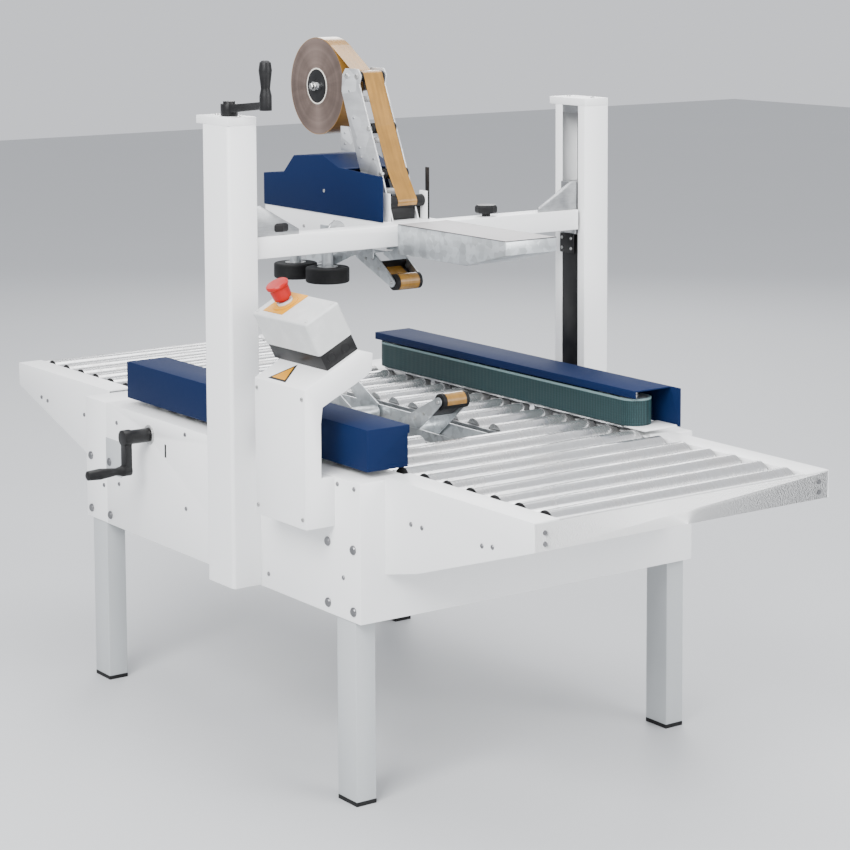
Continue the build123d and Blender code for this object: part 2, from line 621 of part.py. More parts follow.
def cassette(pins, x0, x1, z0, z1, keel):
    """Galvanised cassette: two plates with pin holes, tied by two spacer bars."""
    plates = block((x0, x1), (-CASSETTE_HALF, -CASSETTE_HALF + SHEET), (z0, z1))
    plates += block((x0, x1), (CASSETTE_HALF - SHEET, CASSETTE_HALF), (z0, z1))
    for x in (x0 + 8, x1 - 8):
        plates += block((x - 6, x + 6), (-CASSETTE_HALF, CASSETTE_HALF), keel)
    for x, z in pins:
        plates += pivot_pin(x, z, CASSETTE_HALF)
    return plates


def arm(pivot_x, pivot_z, reach, rise):
    """Pair of arm plates on a pivot tube, with the fixed axle of the end roller between them."""
    end = (pivot_x + reach, pivot_z + rise)
    run = math.hypot(reach, rise)
    across = (-rise / run, reach / run)
    corners_half = ((0, ARM_ROOT_HALF), (1, ARM_TIP_HALF), (1, -ARM_TIP_HALF), (0, -ARM_ROOT_HALF))
    shape = [(pivot_x + t * reach + across[0] * half, pivot_z + t * rise + across[1] * half)
             for t, half in corners_half]
    bar = tube((pivot_x, -ARM_GAP - ARM_PLATE, pivot_z), (pivot_x, ARM_GAP + ARM_PLATE, pivot_z), 17,
               PIVOT_RADIUS + RUNNING_FIT)
    for side, _ in SIDES:
        y0 = side * ARM_GAP
        y1 = side * (ARM_GAP + ARM_PLATE)
        plate = plate_xz(shape, y0, y1) + rod((end[0], min(y0, y1), end[1]), (end[0], max(y0, y1), end[1]), 10)
        hole = PIVOT_RADIUS + RUNNING_FIT
        plate -= rod((pivot_x, min(y0, y1) - 1, pivot_z), (pivot_x, max(y0, y1) + 1, pivot_z), hole)
        bar += plate
    bar += rod((end[0], -ARM_GAP, end[1]), (end[0], ARM_GAP, end[1]), 5)
    return bar


def arm_roller(pivot_x, pivot_z, reach, rise):
    """Rubber roller on the axle of an arm."""
    x = pivot_x + reach
    z = pivot_z + rise
    return tube((x, -ARM_GAP + 2, z), (x, ARM_GAP - 2, z), ARM_ROLLER_RADIUS, 5 + RUNNING_FIT)


UPPER_REACH = ARM_LENGTH * math.cos(math.radians(ARM_DROOP))
UPPER_DROP = -ARM_LENGTH * math.sin(math.radians(ARM_DROOP))
LOWER_REACH = UPPER_REACH + 9
LOWER_RISE = 82
upper_front = (UPPER_FRONT_PIVOT_X, UPPER_PIVOT_Z, UPPER_REACH, UPPER_DROP)
upper_rear = (UPPER_REAR_PIVOT_X, UPPER_PIVOT_Z, -UPPER_REACH, UPPER_DROP)
lower_front = (LOWER_FRONT_PIVOT_X, LOWER_PIVOT_Z, LOWER_REACH, LOWER_RISE)
lower_rear = (LOWER_REAR_PIVOT_X, LOWER_PIVOT_Z, -LOWER_REACH, LOWER_RISE)
upper_pins = [(UPPER_FRONT_PIVOT_X, UPPER_PIVOT_Z), (UPPER_REAR_PIVOT_X, UPPER_PIVOT_Z)]
upper_keel = (HEAD_TOP - 30, HEAD_TOP - 18)
upper_plates = cassette(upper_pins, HEAD_X0 + SHEET, 55, UPPER_PIVOT_Z - 18, HEAD_TOP - SHEET, upper_keel)
save("upper_front_arm", arm(*upper_front))
save("upper_front_roller", arm_roller(*upper_front))
save("upper_rear_arm", arm(*upper_rear), arm_roller(*upper_rear))

# guard, mast and tape roll
GUARD_Y = (-HEAD_HALF - SHEET, HEAD_HALF + SHEET)
GUARD_X1 = 125
GUARD_ROOF_X1 = -16
GUARD_OUTLINE = [(HEAD_X0, HEAD_TOP), (HEAD_X0, 1125), (-258, 1132), (-215, 1172), (-100, 1180), (-40, 1158),
                 (GUARD_X1, 1150), (GUARD_X1, HEAD_TOP)]
ROLL_X = -185
ROLL_Z = 1322
MAST_HALF = 31
MAST_FOOT_Z = HEAD_TOP
MAST_OUTLINE = [(34, MAST_FOOT_Z), (112, MAST_FOOT_Z), (76, 1146), (-8, 1334), (-2, 1352), (-12, 1366),
                (-60, 1366), (-72, 1352), (-75, 1316), (-3, 1146)]
MAST_BRACKET = [(-80, 1190), (-24, 1190), (-44, 1242), (-80, 1242)]
MAST_TIES = ((-40, 1300), (-2, 1215), (40, 1110))
MAST_TIE = 6
GUIDE_ROLLERS = ((-54, 1350), (-16, 1350), (28, 1243), (72, 1150), (90, 1085))
GUIDE_ROLLER_RADIUS = 11


def head_guard():
    """Hood over the outfeed part of the head, open below, standing on the head frame."""
    outer = plate_xz(GUARD_OUTLINE, *GUARD_Y)
    inner = Pos(0, 0, -SHEET) * plate_xz(GUARD_OUTLINE, GUARD_Y[0] + SHEET, GUARD_Y[1] - SHEET)
    keep = block((HEAD_X0 + SHEET, GUARD_X1 + 1), GUARD_Y, (HEAD_TOP - SHEET - 1, HEAD_TOP + 200))
    mast_gap = block((GUARD_ROOF_X1, GUARD_X1 + 1), (GUARD_Y[0] + SHEET, GUARD_Y[1] - SHEET),
                     (HEAD_TOP - 1, HEAD_TOP + 200))
    far_end = block((GUARD_ROOF_X1, GUARD_X1 + 1), (0, GUARD_Y[1] + 1), (HEAD_TOP - 1, HEAD_TOP + 200))
    return outer - (inner & keep) - mast_gap - far_end


def tape_mast():
    """Leaning pair of plates that carries the tape rollers and the roll arm."""
    mast = plate_xz(MAST_OUTLINE, -MAST_HALF - SHEET, -MAST_HALF) + plate_xz(MAST_OUTLINE, MAST_HALF, MAST_HALF + SHEET)
    for x, z in MAST_TIES:
        mast += block((x - MAST_TIE, x + MAST_TIE), (-MAST_HALF, MAST_HALF), (z - MAST_TIE, z + MAST_TIE))
    for x, z in GUIDE_ROLLERS:
        mast += rod((x, -MAST_HALF, z), (x, MAST_HALF, z), 4)
    mast += plate_xz(MAST_BRACKET, -MAST_HALF - SHEET, -MAST_HALF)
    arm_outline = [(-40, 1360), (-40, 1320), (ROLL_X, ROLL_Z - 20), (ROLL_X - 20, ROLL_Z), (ROLL_X, ROLL_Z + 20)]
    mast += plate_xz(arm_outline, MAST_HALF, MAST_HALF + SHEET + 2)
    return mast + rod((ROLL_X, MAST_HALF, ROLL_Z), (ROLL_X, -TAPE_HALF_WIDTH - 8, ROLL_Z), 8)


def guide_roller(x, z):
    """Small free roller between the mast plates."""
    return tube((x, -MAST_HALF + 2, z), (x, MAST_HALF - 2, z), GUIDE_ROLLER_RADIUS, 4 + RUNNING_FIT)


def tape_roll(x, z, half=TAPE_HALF_WIDTH):
    """Wound tape with its core hole."""
    return tube((x, -half, z), (x, half, z), TAPE_ROLL_RADIUS, CORE_RADIUS)


def roll_hub(x, z, bore):
    """Core holder: rim in the core, web and sleeve on the spindle."""
    hub = tube((x, -TAPE_HALF_WIDTH, z), (x, TAPE_HALF_WIDTH, z), CORE_RADIUS, CORE_RADIUS - 5)
    hub += tube((x, -4, z), (x, 4, z), CORE_RADIUS - 5, bore)
    return hub + tube((x, -TAPE_HALF_WIDTH, z), (x, TAPE_HALF_WIDTH, z), 15, bore)


save("head_guard", head_guard())
save("tape_mast", tape_mast())
save("guide_rollers", *[guide_roller(x, z) for x, z in GUIDE_ROLLERS])
save("upper_tape_roll", tape_roll(ROLL_X, ROLL_Z))
save("upper_roll_hub", roll_hub(ROLL_X, ROLL_Z, 8 + RUNNING_FIT))

# compression wheels on the operator's side of the head
WHEEL_RADIUS = 46
WHEEL_Z = (926, 958)
WHEELS = ((-82, -150), (20, -136))
WHEEL_PIN_RADIUS = 6


def wheel_bracket():
    """Bar out from the head's side plate, with a pin down through each wheel."""
    top = (SKID_BOTTOM + 3, SKID_BOTTOM + 9)
    bar = block((-110, 48), (-HEAD_HALF, -HEAD_HALF - 4), (top[0], SKID_BOTTOM + 34))
    bar += block((-110, 48), (-HEAD_HALF, -168), top)
    for x, y in WHEELS:
        bar += rod((x, y, WHEEL_Z[0] - 4), (x, y, top[1]), WHEEL_PIN_RADIUS)
        bar += rod((x, y, WHEEL_Z[1] + 1), (x, y, top[0]), 2 * WHEEL_PIN_RADIUS)
    return bar


def wheel(x, y):
    """Rubber wheel that turns on its upright pin."""
    body = tube((x, y, WHEEL_Z[0]), (x, y, WHEEL_Z[1]), WHEEL_RADIUS, WHEEL_PIN_RADIUS + RUNNING_FIT)
    rims = body.edges().filter_by(GeomType.CIRCLE).filter_by(lambda edge: edge.radius > WHEEL_RADIUS - 1)
    return fillet(rims, 4)


save("upper_cassette", upper_plates, wheel_bracket())
save("rear_compression_wheel", wheel(*WHEELS[0]))
save("front_compression_wheel", wheel(*WHEELS[1]))

# ---- bottom tape head ---------------------------------------------------------------
LOWER_ROLL_Z = 468
LOWER_SPINDLE_RADIUS = 8


def lower_head_frame():
    """Drop-in cassette of the pocket, standing on two crossbars, with the spindle of the lower roll."""
    pins = [(LOWER_FRONT_PIVOT_X, LOWER_PIVOT_Z), (LOWER_REAR_PIVOT_X, LOWER_PIVOT_Z)]
    keel = (CROSSBAR_TOP, CROSSBAR_TOP + 6)
    frame = cassette(pins, POCKET_X0 + 2, POCKET_X1 - 2, CROSSBAR_TOP, PASS_HEIGHT - 6, keel)
    hanger_y = (ARM_GAP + ARM_PLATE + 1, CASSETTE_HALF)
    frame += block((-24, 24), hanger_y, (LOWER_ROLL_Z - 24, CROSSBAR_TOP + 20))
    return frame + rod((0, hanger_y[0], LOWER_ROLL_Z), (0, -TAPE_HALF_WIDTH - 8, LOWER_ROLL_Z), LOWER_SPINDLE_RADIUS)


save("lower_head_frame", lower_head_frame())
save("lower_front_arm", arm(*lower_front))
save("lower_front_roller", arm_roller(*lower_front))
save("lower_rear_arm", arm(*lower_rear), arm_roller(*lower_rear))
lower_bore = LOWER_SPINDLE_RADIUS + RUNNING_FIT
save("lower_tape_roll", tape_roll(0, LOWER_ROLL_Z), roll_hub(0, LOWER_ROLL_Z, lower_bore))

# ---- side belt units ----------------------------------------------------------------
BELT_TOP = BELT_BOTTOM + BELT_HEIGHT
PLATE_Z = (PASS_HEIGHT + 1.5, BELT_BOTTOM - 1.5)
UNIT_LEG_Y = (BELT_FACE + 1, BELT_FACE + 13)
CARRIER_Y = (BELT_FACE + 1, BELT_FACE + 41)
CARRIER_Z = (GUIDE_ROD_Z - 20, GUIDE_ROD_Z + 20)
COVER_OUTER = 378
COVER_INNER = BELT_FACE + 2
COVER_END_GAP = 3
COVER_X0 = DRIVE_DRUM_X - DRUM_RADIUS - BELT_THICKNESS - COVER_END_GAP - SHEET
COVER_X1 = IDLER_DRUM_X + DRUM_RADIUS + BELT_THICKNESS + COVER_END_GAP + SHEET
COVER_TAIL = 30
POST_XS = (-90, 60, 400)
MOTOR_RADIUS = 28


def unit_frame(side):
    """Carrier on the guide rods, legs up between the rollers, bed plate, spindles and posts."""
    carrier = block((WIDTH_SCREW_X - 18, GUIDE_ROD_X + 24), (side * CARRIER_Y[0], side * CARRIER_Y[1]), CARRIER_Z)
    nut_x = (WIDTH_SCREW_X - 11, WIDTH_SCREW_X + 11)
    frame = carrier + block(nut_x, (side * UNIT_LEG_Y[0], side * UNIT_LEG_Y[1]), (CARRIER_Z[1], WIDTH_SCREW_Z + 14))
    for x in (-GUIDE_ROD_X, GUIDE_ROD_X):
        frame += block((x - UNIT_LEG_HALF, x + UNIT_LEG_HALF), (side * UNIT_LEG_Y[0], side * UNIT_LEG_Y[1]), (CARRIER_Z[1], PLATE_Z[0]))
    inner = BELT_FACE + BELT_THICKNESS + 2
    outer = 2 * DRUM_Y - inner
    frame += block((DRIVE_DRUM_X, IDLER_DRUM_X), (side * UNIT_LEG_Y[0], side * outer), PLATE_Z)
    for x in (DRIVE_DRUM_X, IDLER_DRUM_X):
        frame += rod((x, side * DRUM_Y, PLATE_Z[0]), (x, side * DRUM_Y, PLATE_Z[1]), DRUM_RADIUS - 2)
        frame += rod((x, side * DRUM_Y, PLATE_Z[1]), (x, side * DRUM_Y, BELT_TOP + 3), SPINDLE_RADIUS)
    for x in POST_XS:
        frame += block((x - 10, x + 10), (side * (DRUM_Y - 20), side * (DRUM_Y + 20)), (PLATE_Z[1], COVER_TOP - SHEET))
    guide_y = (side * inner, side * (inner + 5))
    frame += block((DRIVE_DRUM_X + 45, IDLER_DRUM_X - 45), guide_y, (PLATE_Z[1], BELT_TOP - 2))
    for x in (-GUIDE_ROD_X, GUIDE_ROD_X):
        y = (side * (CARRIER_Y[0] - 1), side * (CARRIER_Y[1] + 1))
        frame -= rod((x, y[0], GUIDE_ROD_Z), (x, y[1], GUIDE_ROD_Z), GUIDE_ROD_RADIUS + RUNNING_FIT)
    y = (side * (UNIT_LEG_Y[0] - 1), side * (UNIT_LEG_Y[1] + 1))
    return frame - rod((WIDTH_SCREW_X, y[0], WIDTH_SCREW_Z), (WIDTH_SCREW_X, y[1], WIDTH_SCREW_Z),
                       WIDTH_SCREW_RADIUS + RUNNING_FIT)


def stadium(side, radius):
    """Outline round both drums at a given radius from their centres."""
    middle = (DRIVE_DRUM_X + IDLER_DRUM_X) / 2
    length = IDLER_DRUM_X - DRIVE_DRUM_X
    return Pos(middle, side * DRUM_Y) * SlotCenterToCenter(length, 2 * radius)


def side_belt(side):
    """Closed flat belt round the two drums, standing on edge."""
    loop = stadium(side, DRUM_RADIUS + BELT_THICKNESS) - stadium(side, DRUM_RADIUS + 0.3)
    return Pos(0, 0, BELT_BOTTOM) * extrude(loop, BELT_HEIGHT)


def drum(side, x):
    """Belt drum on its upright spindle."""
    return tube((x, side * DRUM_Y, BELT_BOTTOM), (x, side * DRUM_Y, BELT_TOP), DRUM_RADIUS,
                SPINDLE_RADIUS + RUNNING_FIT)


def unit_motor(side):
    """Gear motor that lies inside the belt loop, on the bed plate."""
    z = PLATE_Z[1] + MOTOR_RADIUS
    motor = rod((-300, side * DRUM_Y, z), (-120, side * DRUM_Y, z), MOTOR_RADIUS - 3)
    y = (side * (DRUM_Y - 20), side * (DRUM_Y + 20))
    motor += block((-310, -250), y, (PLATE_Z[1], PLATE_Z[1] + 54))
    return motor + block((-180, -130), y, (PLATE_Z[1], z))


def near_cover():
    """Closed box cover over the near belt unit, open below, with a closed infeed end."""
    z = (PASS_HEIGHT + 1.5, COVER_TOP)
    inner_y = -COVER_INNER
    outer_y = -COVER_OUTER
    cover = block((COVER_X0, COVER_X1), (inner_y, outer_y), z)
    cover -= block((COVER_X0 + SHEET, COVER_X1 - SHEET), (inner_y + SHEET, outer_y + SHEET), (z[0] - 1, z[1] - SHEET))
    mouth_z = (z[0] - 1, BELT_TOP + COVER_END_GAP)
    cover -= block((COVER_X0 - 1, COVER_X1 + 1), (inner_y + 1, inner_y - SHEET - 1), mouth_z)
    return cover


def far_cover():
    """Cover of the far unit: top plate, inner lip, and a back plate that runs past the idler drum."""
    z0 = PASS_HEIGHT + 1.5
    lip_z = (BELT_TOP + COVER_END_GAP, COVER_TOP)
    cover = block((COVER_X0, COVER_X1), (COVER_INNER, COVER_OUTER), (COVER_TOP - SHEET, COVER_TOP))
    cover += block((COVER_X0, COVER_X1), (COVER_INNER, COVER_INNER + SHEET), lip_z)
    cover += block((COVER_X0, COVER_X0 + SHEET), (COVER_INNER, COVER_OUTER), lip_z)
    return cover + block((COVER_X0, COVER_X1 + COVER_TAIL), (COVER_OUTER - SHEET, COVER_OUTER), (z0, COVER_TOP))


covers = {-1: near_cover(), 1: far_cover()}
for side, name in SIDES:
    save(f"{name}_unit_frame", unit_frame(side), unit_motor(side))
    save(f"{name}_side_belt", side_belt(side))
    save(f"{name}_drive_drum", drum(side, DRIVE_DRUM_X))
    save(f"{name}_idler_drum", drum(side, IDLER_DRUM_X))
    save(f"{name}_belt_cover", covers[side])


# ---- width adjustment ---------------------------------------------------------------
WIDTH_ARM_DROP = 70
WIDTH_HUB_Y = (BODY_HALF_WIDTH + 5, BODY_HALF_WIDTH + 48)
WIDTH_GRIP_END = BODY_HALF_WIDTH + 152


def width_crank():
    """Crank on the near end of the width screw: hub, hanging arm, grip."""
    x = WIDTH_SCREW_X
    z = WIDTH_SCREW_Z
    hub_end = WIDTH_HUB_Y[1]
    crank = rod((x, -WIDTH_HUB_Y[0], z), (x, -hub_end, z), 15)
    crank += rod((x, -hub_end, z), (x, -hub_end - 18, z), 17)
    arm_y = (-hub_end, -hub_end - 16)
    crank += block((x - 10, x + 10), arm_y, (z - WIDTH_ARM_DROP, z))
    grip_z = z - WIDTH_ARM_DROP
    crank += rod((x, arm_y[0], grip_z), (x, arm_y[1] - 4, grip_z), 12)
    start = -arm_y[1] + 4
    profile = [(0, start), (11, start), (8, start + 14), (12, start + 52), (10, WIDTH_GRIP_END - 3),
               (5, WIDTH_GRIP_END), (0, WIDTH_GRIP_END)]
    outline = Polyline([(a, 0, b) for a, b in profile], close=True)
    grip = Rot(X=90) * revolve(make_face(outline), Axis.Z)
    crank += Pos(x, 0, grip_z) * grip
    return crank - rod((x, -WIDTH_HUB_Y[0], z), (x, -hub_end + 4, z), WIDTH_SCREW_RADIUS)


def width_screw():
    """Screw across the bed, left-hand thread on one half and right-hand on the other."""
    x = WIDTH_SCREW_X
    z = WIDTH_SCREW_Z
    screw = rod((x, -WIDTH_HUB_Y[1] + 4, z), (x, SIDE_RAIL_OUTER - 4, z), WIDTH_SCREW_RADIUS)
    for side, _ in SIDES:
        inner = side * (SIDE_RAIL_INNER - 1)
        screw += rod((x, inner, z), (x, inner - side * 8, z), 10)
    return screw


save("width_crank", width_crank())
save("width_screw", width_screw())

# ---- pedestal and control box -------------------------------------------------------
PEDESTAL_BOTTOM = 533
PEDESTAL_FRONT_TOP = 800
SLOPE_LENGTH = 140
SLOPE_COS = math.cos(math.radians(CONTROL_TILT))
SLOPE_SIN = math.sin(math.radians(CONTROL_TILT))
NECK_Y = COLUMN_OUTER - 36
CONTROL_START = 62
ESTOP_X = 319
ESTOP_REACH = 48
ESTOP_RADIUS = 23
ESTOP_STEM_RADIUS = 11
ESTOP_TRAVEL = 5
ESTOP_HEAD_HEIGHT = 32
LID_BOTTOM = CONTROL_BASE_HEIGHT
LID_TOP = CONTROL_BASE_HEIGHT + CONTROL_LID_HEIGHT
HUSK = 3


def on_slope(shape):
    """Put a shape drawn flat (X along, Y up the slope, Z off it) on the pedestal's slope."""
    return Pos(0, -COLUMN_OUTER, PEDESTAL_FRONT_TOP) * Rot(X=CONTROL_TILT) * shape


def pedestal_outline(wall):
    """Section of the pedestal, drawn in by the given wall."""
    back_y = -COLUMN_OUTER + SLOPE_LENGTH * SLOPE_COS
    back_z = PEDESTAL_FRONT_TOP + SLOPE_LENGTH * SLOPE_SIN
    outline = Polyline([(0, -COLUMN_OUTER, PEDESTAL_BOTTOM), (0, -COLUMN_OUTER, PEDESTAL_FRONT_TOP),
                        (0, back_y, back_z), (0, back_y + 30, back_z - 8), (0, back_y + 28, back_z - 40),
                        (0, back_y + 14, back_z - 52), (0, -NECK_Y + 4, back_z - 100), (0, -NECK_Y, back_z - 130),
                        (0, -NECK_Y, BODY_TOP), (0, -BODY_HALF_WIDTH, BODY_TOP),
                        (0, -BODY_HALF_WIDTH, PEDESTAL_BOTTOM)], close=True)
    face = make_face(outline)
    return offset(face, -wall, kind=Kind.INTERSECTION) if wall else face


def pedestal():
    """Sheet-metal post on the body's side, open below, with a sloping top for the control box."""
    outer = Pos(PEDESTAL_X0, 0, 0) * extrude(pedestal_outline(0), PEDESTAL_X1 - PEDESTAL_X0, dir=(1, 0, 0))
    width = PEDESTAL_X1 - PEDESTAL_X0 - 2 * SHEET
    inner = Pos(PEDESTAL_X0 + SHEET, 0, 0) * extrude(pedestal_outline(SHEET), width, dir=(1, 0, 0))
    return outer - inner


def control_base():
    """Black base of the control box."""
    x = (CONTROL_X0 + HUSK, CONTROL_X1 - HUSK)
    u = (CONTROL_START + HUSK, CONTROL_START + CONTROL_DEPTH - HUSK)
    base = block(x, u, (0, LID_BOTTOM))
    return base - block((x[0] + HUSK, x[1] - HUSK), (u[0] + HUSK, u[1] - HUSK), (HUSK, LID_BOTTOM + 1))


def control_lid():
    """Lid shell with rounded edges, a hole for the stop button's stem and a collar round it."""
    x = (CONTROL_X0, CONTROL_X1)
    u = (CONTROL_START, CONTROL_START + CONTROL_DEPTH)
    lid = block(x, u, (LID_BOTTOM, LID_TOP))
    lid = fillet(lid.edges().filter_by(Axis.Z), 7)
    lid = fillet(lid.faces().sort_by(Axis.Z)[-1].edges(), 4)
    inner = block((x[0] + HUSK, x[1] - HUSK), (u[0] + HUSK, u[1] - HUSK), (LID_BOTTOM - 1, LID_TOP - HUSK))
    reach = CONTROL_START + ESTOP_REACH
    collar = rod((ESTOP_X, reach, LID_TOP), (ESTOP_X, reach, LID_TOP + 8), 16)
    hole = rod((ESTOP_X, reach, LID_TOP - 10), (ESTOP_X, reach, LID_TOP + 9), ESTOP_STEM_RADIUS + RUNNING_FIT)
    return lid - inner + collar - hole


def estop_button():
    """Mushroom stop button with its stem in the collar."""
    reach = CONTROL_START + ESTOP_REACH
    under = LID_TOP + 8 + ESTOP_TRAVEL + 1
    stem = rod((ESTOP_X, reach, LID_TOP - 6), (ESTOP_X, reach, under), ESTOP_STEM_RADIUS)
    top = under + ESTOP_HEAD_HEIGHT
    profile = [(0, under), (ESTOP_RADIUS - 5, under), (ESTOP_RADIUS, under + 8), (ESTOP_RADIUS, top - 9),
               (ESTOP_RADIUS - 4, top - 2), (0, top)]
    outline = Polyline([(a, 0, b) for a, b in profile], close=True)
    return stem + Pos(ESTOP_X, reach, 0) * revolve(make_face(outline), Axis.Z)


save("control_pedestal", pedestal())
save("control_box", on_slope(control_base()))
save("control_lid", on_slope(control_lid()))
save("estop_button", on_slope(estop_button()))
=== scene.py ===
"""Looks of the carton sealer: finishes for its metal, rubber, tape and plastic, and its fine pieces."""

import json
import logging
import math
from dataclasses import dataclass
from enum import Enum
from typing import Optional, Sequence, Union

import bmesh
import bpy
from mathutils import Matrix, Vector


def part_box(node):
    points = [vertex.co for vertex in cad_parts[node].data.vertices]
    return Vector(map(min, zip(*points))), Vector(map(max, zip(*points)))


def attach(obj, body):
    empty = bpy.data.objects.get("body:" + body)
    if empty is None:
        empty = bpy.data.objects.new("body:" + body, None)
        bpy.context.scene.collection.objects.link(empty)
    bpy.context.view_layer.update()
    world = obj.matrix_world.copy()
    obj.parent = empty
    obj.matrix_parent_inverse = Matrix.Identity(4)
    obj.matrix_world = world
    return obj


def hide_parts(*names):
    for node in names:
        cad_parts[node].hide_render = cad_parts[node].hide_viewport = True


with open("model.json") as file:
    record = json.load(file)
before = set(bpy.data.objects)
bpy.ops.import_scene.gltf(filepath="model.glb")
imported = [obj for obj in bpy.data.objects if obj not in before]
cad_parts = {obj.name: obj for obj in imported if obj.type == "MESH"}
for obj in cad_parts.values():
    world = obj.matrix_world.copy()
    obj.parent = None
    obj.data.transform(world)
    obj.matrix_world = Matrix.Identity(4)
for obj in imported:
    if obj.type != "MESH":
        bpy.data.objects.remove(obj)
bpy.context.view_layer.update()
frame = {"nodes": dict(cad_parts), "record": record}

LOG = logging.getLogger("sealer")
MM = 0.001
BASE = "machine_base"
HEAD = "head"
ROUNDING_SEGMENTS = 2

Colour = tuple[float, float, float]
Point = tuple[float, float, float]
Spot = tuple[float, float]
Box = tuple[Point, Point]


class Facing(Enum):
    """Direction that a round or flat piece points in."""

    X = (1.0, 0.0, 0.0)
    Y = (0.0, 1.0, 0.0)
    Z = (0.0, 0.0, 1.0)
    NEAR = (0.0, -1.0, 0.0)


Direction = Union[Facing, Vector]


# ---- shader maths -------------------------------------------------------------------
class Wire:
    """A number inside a material, on which Python's operators add Math nodes."""

    def __init__(self, graph: "Graph", socket: bpy.types.NodeSocket) -> None:
        """Wrap one output socket of a graph."""
        self.graph = graph
        self.socket = socket

    def maths(self, operation: str, *others: Union["Wire", float], first: bool = True) -> "Wire":
        """Add one Math node.

        Args:
            operation: Name of the operation.
            others: The other inputs, as wires or numbers.
            first: Whether this wire is the first input, and not the last.

        Returns:
            The node's result.
        """
        inputs = [self, *others] if first else [*others, self]
        return self.graph.node("ShaderNodeMath", {"operation": operation}, dict(enumerate(inputs)))

    def __add__(self, other: Union["Wire", float]) -> "Wire":
        """Sum."""
        return self.maths("ADD", other)

    __radd__ = __add__

    def __sub__(self, other: Union["Wire", float]) -> "Wire":
        """Difference."""
        return self.maths("SUBTRACT", other)

    def __rsub__(self, other: float) -> "Wire":
        """Difference from a number."""
        return self.maths("SUBTRACT", other, first=False)

    def __mul__(self, other: Union["Wire", float]) -> "Wire":
        """Product."""
        return self.maths("MULTIPLY", other)

    __rmul__ = __mul__

    def __pow__(self, other: float) -> "Wire":
        """Power."""
        return self.maths("POWER", other)

    def size(self) -> "Wire":
        """Absolute value."""
        return self.maths("ABSOLUTE")

    def sine(self) -> "Wire":
        """Sine of an angle in radians."""
        return self.maths("SINE")

    def span(self, low: float, high: float) -> "Wire":
        """Smooth step from zero at low to one at high.

        Args:
            low: Value that gives zero.
            high: Value that gives one.

        Returns:
            The step.
        """
        return self.graph.node("ShaderNodeMapRange", {"interpolation_type": "SMOOTHSTEP"},
                               {"Value": self, "From Min": low, "From Max": high})


